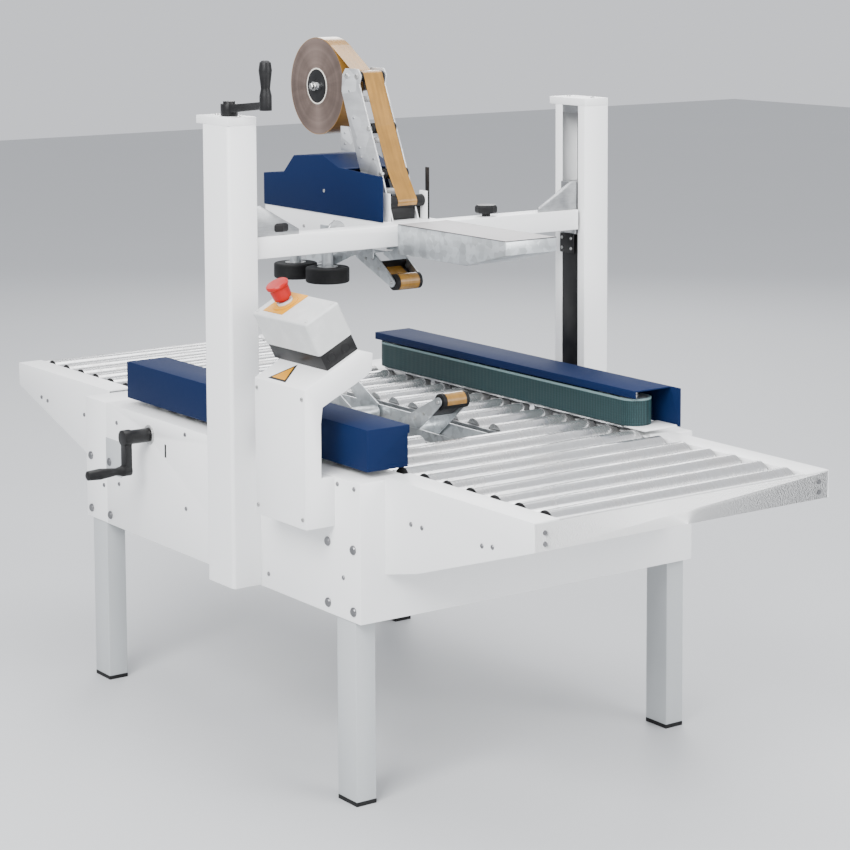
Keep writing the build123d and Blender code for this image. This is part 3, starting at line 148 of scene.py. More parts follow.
class Graph:
    """One material's node tree, with a principled shader at its end."""

    MIX_AMOUNT, MIX_LOW, MIX_HIGH, MIX_RESULT = 0, 6, 7, 2

    def __init__(self, name: str) -> None:
        """Start a material that has a shader only.

        Args:
            name: Name of the material.
        """
        self.material = bpy.data.materials.new(name)
        self.material.use_nodes = True
        self.tree = self.material.node_tree
        self.tree.nodes.clear()
        self.shader = self.tree.nodes.new("ShaderNodeBsdfPrincipled")
        output = self.tree.nodes.new("ShaderNodeOutputMaterial")
        self.tree.links.new(self.shader.outputs[0], output.inputs[0])

    def node(self, kind: str, settings: dict, inputs: dict, output: Union[int, str] = 0) -> Wire:
        """Add any node.

        Args:
            kind: Type name of the node.
            settings: Properties that are set before its sockets.
            inputs: Wires, numbers or colours for its sockets, by name or number.
            output: Which output is returned.

        Returns:
            The chosen output.
        """
        made = self.tree.nodes.new(kind)
        for key, value in settings.items():
            setattr(made, key, value)
        for key, value in inputs.items():
            self.feed(made.inputs[key], value)
        return Wire(self, made.outputs[output])

    def feed(self, socket: bpy.types.NodeSocket, value: object) -> None:
        """Link a wire to a socket, or set the socket's own value.

        Args:
            socket: The socket.
            value: A wire, a number, a vector or a colour.
        """
        if isinstance(value, Wire):
            self.tree.links.new(value.socket, socket)
        elif isinstance(value, tuple) and len(value) == 3 and len(socket.default_value) == 4:
            socket.default_value = (*value, 1.0)
        else:
            socket.default_value = value

    def surface(self, **values: object) -> None:
        """Set or link the shader's sockets, named with underscores for spaces."""
        for key, value in values.items():
            self.feed(self.shader.inputs[key.replace("_", " ")], value)

    def place(self, scale: Point = (1.0, 1.0, 1.0), centre: Point = (0.0, 0.0, 0.0)) -> Wire:
        """Object coordinates in metres, moved so that centre is zero, then scaled.

        Args:
            scale: Factor along each axis.
            centre: Point that becomes the origin.

        Returns:
            The coordinates.
        """
        coordinates = self.node("ShaderNodeTexCoord", {}, {}, "Object")
        shift = tuple(-c * s for c, s in zip(centre, scale))
        return self.node("ShaderNodeMapping", {}, {"Vector": coordinates, "Location": shift, "Scale": scale})

    def join(self, x: Union[Wire, float], y: Union[Wire, float] = 0.0, z: Union[Wire, float] = 0.0) -> Wire:
        """Vector of three numbers."""
        return self.node("ShaderNodeCombineXYZ", {}, {0: x, 1: y, 2: z})

    def parts(self, place: Wire) -> tuple[Wire, ...]:
        """Split coordinates into X, Y and Z."""
        split = self.node("ShaderNodeSeparateXYZ", {}, {0: place})
        return tuple(Wire(self, output) for output in split.socket.node.outputs)

    def noise(self, scale: float, place: Optional[Wire] = None, detail: float = 3.0) -> Wire:
        """Soft noise between zero and one.

        Args:
            scale: Lumps in a metre.
            place: Coordinates, or None for plain object coordinates.
            detail: Levels of finer lumps.

        Returns:
            The noise value.
        """
        where = place or self.place()
        return self.node("ShaderNodeTexNoise", {}, {"Vector": where, "Scale": scale, "Detail": detail})

    def blend(self, amount: Union[Wire, float], low: Union[Wire, Colour], high: Union[Wire, Colour]) -> Wire:
        """Mix two colours.

        Args:
            amount: Zero for low, one for high.
            low: First colour.
            high: Second colour.

        Returns:
            The mixed colour.
        """
        inputs = {self.MIX_AMOUNT: amount, self.MIX_LOW: low, self.MIX_HIGH: high}
        return self.node("ShaderNodeMix", {"data_type": "RGBA"}, inputs, self.MIX_RESULT)

    def bump(self, height: Wire, depth: float, strength: float = 1.0) -> Wire:
        """Surface normal from a height.

        Args:
            height: Height between zero and one.
            depth: Depth in metres of a height of one.
            strength: Share of the effect.

        Returns:
            The normal.
        """
        return self.node("ShaderNodeBump", {}, {"Height": height, "Distance": depth, "Strength": strength})


# ---- finishes -----------------------------------------------------------------------
@dataclass(frozen=True)
class Finish:
    """One finish of the machine, which makes a material of its own name."""

    name: str
    colour: Colour

    def make(self) -> bpy.types.Material:
        """Build the material.

        Returns:
            The material.
        """
        graph = Graph(self.name)
        self.lay(graph)
        return graph.material

    def lay(self, graph: Graph) -> None:
        """Feed the shader of a graph."""
        raise NotImplementedError

    def tone(self, factor: float, lift: float = 0.0) -> Colour:
        """The finish's colour made darker or lighter."""
        return tuple(min(1.0, c * factor + lift) for c in self.colour)


@dataclass(frozen=True)
class Paint(Finish):
    """Powder coat on sheet metal: orange peel, faint clouds and a little dust."""

    roughness: float = 0.42
    peel: float = 0.00012
    dust: float = 0.24
    coat: float = 0.15
    shine: float = 0.45

    def lay(self, graph: Graph) -> None:
        """Feed the shader of a graph.

        Args:
            graph: The graph of a new material.
        """
        clouds = graph.noise(5.0, detail=4.0)
        specks = graph.noise(160.0, detail=2.0)
        dust = (clouds * 0.7 + specks * 0.3).span(0.5, 0.85) * self.dust
        graph.surface(
            Base_Color=graph.blend(dust, self.colour, self.tone(0.82)),
            Roughness=clouds * 0.12 + specks * 0.05 + (self.roughness - 0.08),
            Normal=graph.bump(graph.noise(420.0, detail=1.0), self.peel, 0.35),
            Coat_Weight=self.coat, Coat_Roughness=0.25, Specular_IOR_Level=self.shine,
        )


@dataclass(frozen=True)
class Zinc(Finish):
    """Galvanised sheet: small crystal spangles with their own tint and gloss."""

    grain: float = 70.0
    roughness: float = 0.34

    def lay(self, graph: Graph) -> None:
        """Feed the shader of a graph.

        Args:
            graph: The graph of a new material.
        """
        cloud = graph.noise(30.0, detail=2.0)
        cells = graph.node("ShaderNodeTexVoronoi", {"feature": "F1"},
                           {"Vector": graph.place(), "Scale": self.grain}, "Color")
        tint = graph.node("ShaderNodeRGBToBW", {}, {0: cells})
        streak = graph.noise(14.0, graph.place((1.0, 1.0, 6.0)), detail=5.0)
        mixed = tint * 0.45 + streak * 0.4 + cloud * 0.15
        graph.surface(
            Base_Color=graph.blend(mixed.span(0.15, 0.8), self.tone(0.72), self.tone(1.18)),
            Roughness=mixed * 0.22 + (self.roughness - 0.08),
            Normal=graph.bump(streak + tint * 0.4, 0.00008, 0.3),
            Metallic=0.85,
        )


@dataclass(frozen=True)
class TurnedTube(Finish):
    """Bright roller tube: fine rings round it with painted glints along them, long wear bands and dull
    patches.
    """

    colour: Colour = (0.66, 0.665, 0.67)
    wear: Colour = (0.36, 0.33, 0.30)
    glint: Colour = (0.90, 0.905, 0.91)

    def lay(self, graph: Graph) -> None:
        """Feed the shader of a graph.

        Args:
            graph: The graph of a new material.
        """
        rings = graph.noise(3.0, graph.place((0.5, 260.0, 0.5)), detail=3.0)
        bands = graph.noise(1.0, graph.place((9.0, 13.0, 9.0)), detail=4.0)
        scuffs = graph.noise(1.0, graph.place((40.0, 110.0, 40.0)), detail=5.0)
        worn = (bands * 0.6 + scuffs * 0.4).span(0.42, 0.66)
        metal = graph.blend(worn * 0.5, self.colour, self.wear)
        graph.surface(
            # the pale glint colour mixed in along the rings is a painted highlight
            Base_Color=graph.blend(rings * 0.45, metal, self.glint),
            Roughness=rings * 0.14 + worn * 0.12 + 0.14,
            Normal=graph.bump(rings, 0.00005, 0.35),
            Metallic=0.9,
        )


@dataclass(frozen=True)
class BeltRubber(Finish):
    """Grip belt standing on edge: upright ribs, a paler strip along the top."""

    top: float
    pitch: float = 0.0052
    pale_top: Colour = (0.22, 0.33, 0.34)

    def lay(self, graph: Graph) -> None:
        """Feed the shader of a graph.

        Args:
            graph: The graph of a new material.
        """
        x, y, z = graph.parts(graph.place())
        turn = 2.0 * math.pi / self.pitch
        ribs = ((x + y * 0.6) * turn).sine() * 0.5 + 0.5
        grid = (z * turn).sine() * 0.5 + 0.5
        knobs = ribs * 0.8 + grid * 0.2
        strip = z.span(self.top - 0.005, self.top - 0.003)
        wear = graph.noise(22.0, detail=4.0)
        body = graph.blend(knobs * (wear * 0.6 + 0.5), self.colour, self.tone(2.4, 0.008))
        graph.surface(
            # paler colour over the top few millimetres of the belt's side
            Base_Color=graph.blend(strip * 0.65, body, self.pale_top),
            Roughness=wear * 0.2 + 0.5,
            Normal=graph.bump(knobs, 0.0006, 0.8),
            Specular_IOR_Level=0.35,
        )


@dataclass(frozen=True)
class WoundTape(Finish):
    """Side and rim of a wound tape roll: fine coils about the axis, and painted sheen streaks and glints."""

    centre: Point
    rim: Colour = (0.25, 0.125, 0.024)
    rim_from: float = 0.1035
    rim_to: float = 0.1042

    def lay(self, graph: Graph) -> None:
        """Feed the shader of a graph.

        Args:
            graph: The graph of a new material.
        """
        x, y, z = graph.parts(graph.place(centre=self.centre))
        radius = (x * x + z * z).maths("SQRT")
        angle = z.maths("ARCTAN2", x)
        coils = graph.noise(1.0, graph.join(radius * 900.0, angle * 0.6, y * 30.0), detail=3.0)
        around = graph.join(angle.sine() * 2.2, (angle * 2.0).sine(), radius * 3.0)
        sweep = graph.noise(1.3, around, detail=3.0)
        bands = graph.noise(1.0, graph.join(radius * 70.0), detail=2.0)
        # painted highlights: glint brightens the side above and below the axis, and sweep adds streaks of
        # sheen; bands are concentric winding bands
        glint = angle.sine().size() ** 7.0
        light = (sweep * 0.5 + bands * 0.5).span(0.36, 0.74) * 0.6 + glint * 0.45
        wound = graph.blend(light, self.tone(0.62), self.tone(1.6, 0.05))
        side = graph.blend(coils * 0.35, wound, self.colour)
        graph.surface(
            Base_Color=graph.blend(radius.span(self.rim_from, self.rim_to), side, self.rim),
            Roughness=coils * 0.2 + 0.28,
            Normal=graph.bump(coils, 0.00012, 0.4),
            Coat_Weight=0.25, Coat_Roughness=0.2,
        )


@dataclass(frozen=True)
class Film(Finish):
    """Strip of brown tape film: shiny, with faint long creases and a painted sheen along them."""

    def lay(self, graph: Graph) -> None:
        """Feed the shader of a graph.

        Args:
            graph: The graph of a new material.
        """
        creases = graph.noise(1.0, graph.place((12.0, 160.0, 12.0)), detail=3.0)
        cloud = graph.noise(24.0, detail=3.0)
        # painted sheen: the colour turns lighter along the creases and clouds
        shine = (creases * 0.5 + cloud * 0.5).span(0.35, 0.7)
        graph.surface(
            Base_Color=graph.blend(shine, self.colour, self.tone(1.45)),
            Roughness=creases * 0.14 + 0.14,
            Normal=graph.bump(creases, 0.0002, 0.3),
            Coat_Weight=0.4, Coat_Roughness=0.12,
        )


@dataclass(frozen=True)
class Moulded(Finish):
    """Moulded plastic or rubber with a fine grain and rubbed high spots."""

    roughness: float = 0.5
    grain: float = 900.0
    depth: float = 0.00006

    def lay(self, graph: Graph) -> None:
        """Feed the shader of a graph.

        Args:
            graph: The graph of a new material.
        """
        grain = graph.noise(self.grain, detail=1.0)
        rub = graph.noise(35.0, detail=4.0)
        graph.surface(
            Base_Color=graph.blend(rub.span(0.42, 0.75), self.colour, self.tone(1.10, 0.006)),
            Roughness=rub * 0.18 + grain * 0.05 + (self.roughness - 0.11),
            Normal=graph.bump(grain, self.depth, 0.4),
            Specular_IOR_Level=0.28,
        )


@dataclass(frozen=True)
class BrightSteel(Finish):
    """Bright steel of screws, shafts and frames, with brushed streaks."""

    colour: Colour = (0.62, 0.62, 0.61)
    roughness: float = 0.28

    def lay(self, graph: Graph) -> None:
        """Feed the shader of a graph.

        Args:
            graph: The graph of a new material.
        """
        streak = graph.noise(1.0, graph.place((60.0, 60.0, 900.0)), detail=3.0)
        cloud = graph.noise(40.0, detail=3.0)
        light = (streak * 0.4 + cloud * 0.6).span(0.3, 0.75)
        graph.surface(
            Base_Color=graph.blend(light, self.tone(0.66), self.colour),
            Roughness=streak * 0.12 + cloud * 0.1 + (self.roughness - 0.1),
            Normal=graph.bump(streak, 0.00004, 0.3),
            Metallic=0.95,
        )


# ---- palette ------------------------------------------------------------------------
@dataclass(frozen=True)
class Palette:
    """Every finish of the machine."""

    white: Colour = (0.90, 0.905, 0.905)
    leg_grey: Colour = (0.46, 0.48, 0.49)
    zinc: Colour = (0.60, 0.63, 0.645)
    blue: Colour = (0.0004, 0.0095, 0.05)
    belt: Colour = (0.002, 0.016, 0.018)
    tape: Colour = (0.235, 0.118, 0.02)
    roll_side: Colour = (0.088, 0.054, 0.040)
    black: Colour = (0.006, 0.006, 0.0065)
    lid_grey: Colour = (0.58, 0.59, 0.585)
    tray: Colour = (0.40, 0.385, 0.385)
    card: Colour = (0.74, 0.70, 0.63)
    mast: Colour = (0.80, 0.81, 0.815)
    red: Colour = (0.38, 0.002, 0.001)
    yellow: Colour = (0.62, 0.27, 0.0)
    bolt: Colour = (0.26, 0.26, 0.27)
    frame: Colour = (0.46, 0.47, 0.48)

    def middle(self, node: str) -> Point:
        """Middle of a part's box."""
        return tuple(sum(pair) / 2 for pair in zip(*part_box(node)))

    def build(self) -> dict[str, bpy.types.Material]:
        """Make every material.

        Returns:
            The materials by their plain names.
        """
        finishes = (
            Paint("white_paint", self.white),
            Paint("leg_paint", self.leg_grey, roughness=0.38),
            Paint("blue_paint", self.blue, roughness=0.7, coat=0.0, shine=0.16),
            Zinc("zinc_sheet", self.zinc),
            TurnedTube("roller_tube"),
            BeltRubber("belt_rubber", self.belt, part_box("far_side_belt")[1].z),
            WoundTape("upper_roll", self.roll_side, self.middle("upper_tape_roll")),
            WoundTape("lower_roll", self.roll_side, self.middle("lower_tape_roll")),
            Film("tape_film", self.tape),
            Moulded("black_rubber", self.black, roughness=0.62),
            Moulded("black_plastic", self.black, roughness=0.42),
            Moulded("lid_plastic", self.lid_grey, roughness=0.45),
            Moulded("tray_grey", self.tray, roughness=0.5),
            Moulded("core_card", self.card, roughness=0.7),
            Zinc("mast_metal", self.mast, grain=30.0, roughness=0.42),
            Moulded("red_plastic", self.red, roughness=0.32),
            Moulded("yellow_plastic", self.yellow, roughness=0.4),
            BrightSteel("bright_steel"),
            BrightSteel("bolt_steel", self.bolt, 0.3),
            BrightSteel("frame_steel", self.frame, 0.36),
        )
        return {finish.name: finish.make() for finish in finishes}


SLOT_FINISH = {
    "white_paint": "white_paint", "grey_leg_paint": "leg_paint", "black_rubber": "black_rubber",
    "frame_steel": "frame_steel", "galvanised": "zinc_sheet", "zinc_roller": "roller_tube",
    "bright_fastener": "bright_steel", "blue_paint": "blue_paint", "belt_rubber": "belt_rubber",
    "tan_tape": "upper_roll", "black_plastic": "black_plastic", "light_grey_plastic": "lid_plastic",
    "red_plastic": "red_plastic",
}
NODE_FINISH = {"lower_tape_roll": "lower_roll", "tape_mast": "mast_metal", "body_fasteners": "bolt_steel"}


# ---- shared workshop ----------------------------------------------------------------
def hang(name: str, data: bpy.types.ID) -> bpy.types.Object:
    """Put new data in the scene as an object of that name.

    Args:
        name: Name of the object.
        data: A mesh, light or camera.

    Returns:
        The new object.
    """
    holder = bpy.data.objects.new(name, data)
    bpy.context.scene.collection.objects.link(holder)
    return holder


def metres(place: Sequence[float]) -> tuple[float, ...]:
    """Millimetres made metres."""
    return tuple(c * MM for c in place)


def turns_at(edge: bmesh.types.BMEdge, angle: float) -> bool:
    """Whether the two faces of an edge turn by more than an angle in degrees."""
    return len(edge.link_faces) == 2 and edge.calc_face_angle(0.0) > math.radians(angle)


def grow(shape: bmesh.types.BMesh, low: Point, high: Point, edge: float,
         turn: Optional[Matrix] = None) -> None:
    """Add a block with rounded edges to a shape.

    Args:
        shape: The shape that it joins.
        low: Lowest corner in metres.
        high: Highest corner in metres.
        edge: Width of the rounding, which stays under 0.3 of the thinnest side.
        turn: Optional matrix applied to the block afterwards.
    """
    size = [max(b - a, 1e-5) for a, b in zip(low, high)]
    middle = [(a + b) / 2 for a, b in zip(low, high)]
    made = bmesh.ops.create_cube(shape, size=1.0)["verts"]
    bmesh.ops.scale(shape, vec=size, verts=made)
    bmesh.ops.translate(shape, vec=middle, verts=made)
    edges = list(dict.fromkeys(e for v in made for e in v.link_edges))
    result = bmesh.ops.bevel(shape, geom=edges, offset=min(edge, min(size) * 0.3), offset_type="OFFSET",
                             segments=ROUNDING_SEGMENTS, profile=0.5, affect="EDGES", clamp_overlap=True,
                             material=-1)
    if turn is not None:
        verts = dict.fromkeys([v for f in result["faces"] for v in f.verts] + [v for v in made if v.is_valid])
        bmesh.ops.transform(shape, matrix=turn, verts=list(verts))


def turn_profile(shape: bmesh.types.BMesh, outline: Sequence[Spot], centre: Point, facing: Direction,
                 steps: int) -> None:
    """Add a turned piece: an outline spun once about an axis.

    Args:
        shape: The shape that it joins.
        outline: Radius and height of each corner in metres, from one end of the axis to the other.
        centre: Point of the axis where the height is zero.
        facing: Direction of rising height.
        steps: Faces round the turn.
    """
    verts = [shape.verts.new((radius, 0.0, height)) for radius, height in outline]
    edges = [shape.edges.new(pair) for pair in zip(verts, verts[1:])]
    bmesh.ops.spin(shape, geom=verts + edges, cent=(0, 0, 0), axis=(0, 0, 1), angle=2 * math.pi,
                   steps=steps, use_merge=True, use_duplicate=False)
    made = list(verts)
    seen = set(verts)
    for vert in made:
        for edge in vert.link_edges:
            other = edge.other_vert(vert)
            if other not in seen:
                seen.add(other)
                made.append(other)
    bmesh.ops.remove_doubles(shape, verts=made, dist=1e-6)
    made = [v for v in made if v.is_valid]
    direction = Vector(facing.value) if isinstance(facing, Facing) else facing.normalized()
    turn = Vector((0, 0, 1)).rotation_difference(direction).to_matrix().to_4x4()
    bmesh.ops.transform(shape, matrix=Matrix.Translation(centre) @ turn, verts=made)
    bmesh.ops.recalc_face_normals(shape, faces=list(dict.fromkeys(f for v in made for f in v.link_faces)))


@dataclass
class Workshop:
    """Builds pieces from bmesh shapes, dresses them and fixes them to a body of the machine."""

    materials: dict[str, bpy.types.Material]
    count: int = 0
    screw_head: tuple[Spot, ...] = ((0, 0), (1, 0), (1, 0.3), (0.86, 0.55), (0.5, 0.7), (0.42, 0.45),
                                    (0, 0.4))
    merge_gap: float = 0.00002

    def finish(self, name: str, shape: bmesh.types.BMesh, look: str, body: str,
               replaces: Sequence[str] = (), smooth: float = 32.0) -> None:
        """Turn a shape into a finished piece.

        Args:
            name: Name of the piece.
            shape: Its shape in metres, which is freed.
            look: Name of its material.
            body: Body that it moves with.
            replaces: Parts that it stands for.
            smooth: Largest angle in degrees that is shaded round.
        """
        mesh = bpy.data.meshes.new(name)
        for face in shape.faces:
            face.smooth = True
        for edge in shape.edges:
            if turns_at(edge, smooth):
                edge.smooth = False
        shape.to_mesh(mesh)
        shape.free()
        piece = hang(name, mesh)
        mesh.materials.append(self.materials[look])
        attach(piece, body)
        if replaces:
            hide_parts(*replaces)
        self.count += 1
        LOG.info("%s: %d faces, %s, on %s", name, len(mesh.polygons), look, body)

    def dress(self, node: str, look: str) -> None:
        """Give a part of the frame its finish.

        Args:
            node: The part.
            look: Name of its material.
        """
        data = frame["nodes"][node].data
        data.materials.clear()
        data.materials.append(self.materials[look])

    def soften(self, node: str, look: str, body: str, width: float, angle: float = 30.0) -> None:
        """Replace a part with a copy whose sharp edges are rounded.

        Args:
            node: The part.
            look: Name of its material.
            body: Body that it moves with.
            width: Width of the rounding in metres.
            angle: Least angle in degrees of an edge that is rounded.
        """
        shape = bmesh.new()
        shape.from_mesh(frame["nodes"][node].data)
        bmesh.ops.remove_doubles(shape, verts=shape.verts[:], dist=self.merge_gap)
        bmesh.ops.dissolve_limit(shape, angle_limit=math.radians(1.0), use_dissolve_boundaries=False,
                                 verts=shape.verts[:], edges=shape.edges[:], delimit=set())
        sharp = [edge for edge in shape.edges if turns_at(edge, angle)]
        bmesh.ops.bevel(shape, geom=sharp, offset=width, offset_type="OFFSET", segments=ROUNDING_SEGMENTS,
                        profile=0.5, affect="EDGES", clamp_overlap=True, material=-1, loop_slide=True)
        self.finish(f"{node}_shell", shape, look, body, replaces=[node], smooth=50.0)

    def turned(self, name: str, look: str, body: str, outline: Sequence[Spot], places: Sequence[Point],
               facing: Direction, steps: int = 28) -> None:
        """Make one piece of several equal turned shapes.

        Args:
            name: Name of the piece.
            look: Name of its material.
            body: Body that it moves with.
            outline: Radius and height of each corner in millimetres.
            places: Foot of each shape's axis in millimetres.
            facing: Direction of the axis.
            steps: Faces round each.
        """
        shape = bmesh.new()
        for place in places:
            turn_profile(shape, [metres(spot) for spot in outline], metres(place), facing, steps)
        self.finish(name, shape, look, body)

    def blocks(self, name: str, look: str, body: str, boxes: Sequence[Box], edge: float = 0.6,
               turn: Optional[Matrix] = None) -> None:
        """Make one piece of several rounded blocks.

        Args:
            name: Name of the piece.
            look: Name of its material.
            body: Body that it moves with.
            boxes: Lowest and highest corner of each block in millimetres.
            edge: Rounding in millimetres.
            turn: Optional matrix applied to all of them.
        """
        shape = bmesh.new()
        for low, high in boxes:
            grow(shape, metres(low), metres(high), edge * MM, turn)
        self.finish(name, shape, look, body)

    def screws(self, name: str, body: str, places: Sequence[Point], facing: Direction, radius: float = 4.0,
               look: str = "bright_steel") -> None:
        """Make round screw heads with a recess in each.

        Args:
            name: Name of the piece.
            body: Body that it moves with.
            places: Foot of each head in millimetres.
            facing: Direction that the heads point in.
            radius: Radius of a head.
            look: Name of the material.
        """
        outline = [(across * radius, height * radius) for across, height in self.screw_head]
        self.turned(name, look, body, outline, places, facing, 20)


# ---- studio -------------------------------------------------------------------------
@dataclass
class Studio:
    """Pale floor, soft lights and the camera, in metres and degrees."""

    eye: Point = (4.2137, -2.8751, 1.6383)
    heading: float = 35.49
    dip: float = 6.12
    tilt: float = -0.27
    lens: float = 102.3
    sensor: float = 36.0
    lift: float = -0.2672
    reach: float = 60.0
    floor_half: float = 14.0
    floor_dark: Colour = (0.50, 0.51, 0.525)
    floor_light: Colour = (0.54, 0.55, 0.56)
    target: Point = (0.0, 0.0, 0.7)
    lamps: tuple[tuple[str, Point, float, float], ...] = (
        ("key", (2.6, -4.2, 4.2), 3.0, 560.0), ("fill", (4.8, 1.6, 2.6), 3.0, 210.0),
        ("top", (-0.6, 0.4, 4.6), 3.4, 190.0), ("back", (-4.2, 3.6, 3.0), 2.6, 110.0))
    sky_colour: Colour = (0.93, 0.95, 1.0)
    sky: float = 0.95

    def camera(self) -> None:
        """Place the camera."""
        data = bpy.data.cameras.new("camera")
        data.lens = self.lens
        data.sensor_width = self.sensor
        data.shift_y = self.lift
        data.clip_end = self.reach
        heading, dip, tilt = (math.radians(a) for a in (self.heading, self.dip, self.tilt))
        ahead = Vector((-math.cos(heading) * math.cos(dip), math.sin(heading) * math.cos(dip),
                        -math.sin(dip)))
        level = ahead.cross(Vector((0, 0, 1))).normalized()
        above = level.cross(ahead)
        right = level * math.cos(tilt) + above * math.sin(tilt)
        up = above * math.cos(tilt) - level * math.sin(tilt)
        holder = hang("camera", data)
        holder.matrix_world = Matrix.Translation(self.eye) @ Matrix((right, up, -ahead)).transposed().to_4x4()
        bpy.context.scene.camera = holder

    def floor(self) -> None:
        """Lay the floor."""
        shape = bmesh.new()
        bmesh.ops.create_grid(shape, x_segments=8, y_segments=8, size=self.floor_half)
        mesh = bpy.data.meshes.new("floor")
        shape.to_mesh(mesh)
        shape.free()
        graph = Graph("floor_paint")
        cloud = graph.noise(0.6, detail=3.0)
        graph.surface(Base_Color=graph.blend(cloud, self.floor_dark, self.floor_light),
                      Roughness=cloud * 0.1 + 0.55)
        mesh.materials.append(graph.material)
        hang("floor", mesh)

    def light(self, name: str, place: Point, size: float, power: float) -> None:
        """Add one soft square light that points at the machine.

        Args:
            name: Name of the light.
            place: Where it stands.
            size: Side of its square in metres.
            power: Power in watts.
        """
        data = bpy.data.lights.new(name, "AREA")
        data.shape = "SQUARE"
        data.size = size
        data.energy = power
        aim = (Vector(self.target) - Vector(place)).to_track_quat("-Z", "Y")
        hang(name, data).matrix_world = Matrix.Translation(place) @ aim.to_matrix().to_4x4()

    def build(self) -> None:
        """Set up the camera, the floor, the lights and the sky."""
        self.camera()
        self.floor()
        for lamp in self.lamps:
            self.light(*lamp)
        world = bpy.data.worlds.new("studio")
        world.use_nodes = True
        background = world.node_tree.nodes["Background"]
        background.inputs["Color"].default_value = (*self.sky_colour, 1.0)
        background.inputs["Strength"].default_value = self.sky
        bpy.context.scene.world = world


# ---- the frame's own parts ----------------------------------------------------------
@dataclass
class FrameDress:
    """Finishes of the parts that keep their shape, and rounded copies of the sheet-metal ones."""

    shop: Workshop
    edge: float = 0.0013
    softened: tuple[str, ...] = (
        "near_side_panel", "far_side_panel", "end_shells", "extension_frames", "near_column", "far_column",
        "column_caps", "crossbeam", "control_pedestal", "upper_head_frame", "head_guard",
        "near_belt_cover", "far_belt_cover", "infeed_ramp", "legs", "control_box", "tape_mast",
        "height_crank", "width_crank", "lift_carriages")

    def build(self) -> None:
        """Dress every node, and round the edges of those that show them."""
        bodies = frame["record"]["behaviour"]["bodies"]
        body_of = {node: body for body, nodes in bodies.items() for node in nodes}
        for part in frame["record"]["subparts"]:
            node = part["node"]
            look = NODE_FINISH.get(node, SLOT_FINISH[part["material_slot"]])
            if node in self.softened:
                self.shop.soften(node, look, body_of[node], self.edge)
            self.shop.dress(node, look)


# ---- sub-assemblies, all in millimetres ---------------------------------------------
@dataclass(frozen=True)
class Wheel:
    """A round thing that tape runs over: its axis in X and Z, and its radius."""

    x: float
    z: float
    radius: float

    def point(self, angle: float, lift: float = 0.25) -> Spot:
        """Point of its rim at an angle, lifted to the middle of the tape."""
        reach = self.radius + lift
        return self.x + reach * math.cos(angle), self.z + reach * math.sin(angle)

    @classmethod
    def of(cls, node: str) -> "Wheel":
        """Wheel of a roller in the frame."""
        low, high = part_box(node)
        return cls((low.x + high.x) / 2 / MM, (low.z + high.z) / 2 / MM, (high.z - low.z) / 2 / MM)


UPPER_ROLL = Wheel(-185, 1322, 105)
MAST_GUIDES = (Wheel(-54, 1350, 11), Wheel(-16, 1350, 11), Wheel(28, 1243, 11), Wheel(72, 1150, 11))
FOOT_GUIDE = Wheel(106, 1094, 13)


@dataclass
class TapeRun:
    """The strips of tape from the roll over the guide rollers, and round the two front rollers."""

    shop: Workshop
    half_width: float = 24.0
    thickness: float = 0.3
    arc_step: float = 0.08
    web_turn: Spot = (100, -35)
    wraps: tuple[tuple[str, str, str, Spot], ...] = (
        ("upper_tape_wrap", "upper_front_roller", "top_front_arm", (150, -80)),
        ("lower_tape_wrap", "lower_front_roller", "bottom_front_arm", (150, -20)))

    def over(self, wheels: Sequence[Wheel], first: float, last: float) -> list[Spot]:
        """Line that touches every wheel on its outer side.

        Args:
            wheels: The wheels in the tape's order.
            first: Angle in degrees at which the tape meets the first wheel.
            last: Angle in degrees at which it leaves the last wheel.

        Returns:
            The points of the line in X and Z.
        """
        leave = []
        for one, two in zip(wheels, wheels[1:]):
            run = math.hypot(two.x - one.x, two.z - one.z)
            lean = math.atan2(two.z - one.z, two.x - one.x)
            leave.append(lean + math.acos((one.radius - two.radius) / run))
        meets = [math.radians(first), *leave]
        leaves = [*leave, math.radians(last)]
        line = []
        for wheel, start, end in zip(wheels, meets, leaves):
            steps = max(2, round(abs(end - start) / self.arc_step))
            line += [wheel.point(start + (end - start) * k / steps) for k in range(steps + 1)]
        return line

    def strip(self, name: str, line: Sequence[Spot], body: str) -> None:
        """Make one strip along a line.

        Args:
            name: Name of the strip.
            line: X and Z of its middle.
            body: Body that it moves with.
        """
        shape = bmesh.new()
        rows = []
        for index, (x, z) in enumerate(line):
            before = line[max(0, index - 1)]
            after = line[min(len(line) - 1, index + 1)]
            run = math.hypot(after[0] - before[0], after[1] - before[1]) or 1.0
            across = (-(after[1] - before[1]) / run, (after[0] - before[0]) / run)
            row = []
            for y, side in ((-1, -1), (1, -1), (1, 1), (-1, 1)):
                lift = side * self.thickness / 2
                corner = (x + across[0] * lift, y * self.half_width, z + across[1] * lift)
                row.append(shape.verts.new(metres(corner)))
            rows.append(row)
        for one, two in zip(rows, rows[1:]):
            for k in range(4):
                shape.faces.new((one[k], one[(k + 1) % 4], two[(k + 1) % 4], two[k]))
        shape.faces.new(rows[0])
        shape.faces.new(rows[-1])
        bmesh.ops.recalc_face_normals(shape, faces=shape.faces)
        self.shop.finish(name, shape, "tape_film", body)

    def build(self) -> None:
        """Make every strip."""
        web = self.over([UPPER_ROLL, *MAST_GUIDES, FOOT_GUIDE], *self.web_turn)
        self.strip("tape_web", web, HEAD)
        for name, node, body, turn in self.wraps:
            self.strip(name, self.over([Wheel.of(node)], *turn), body)


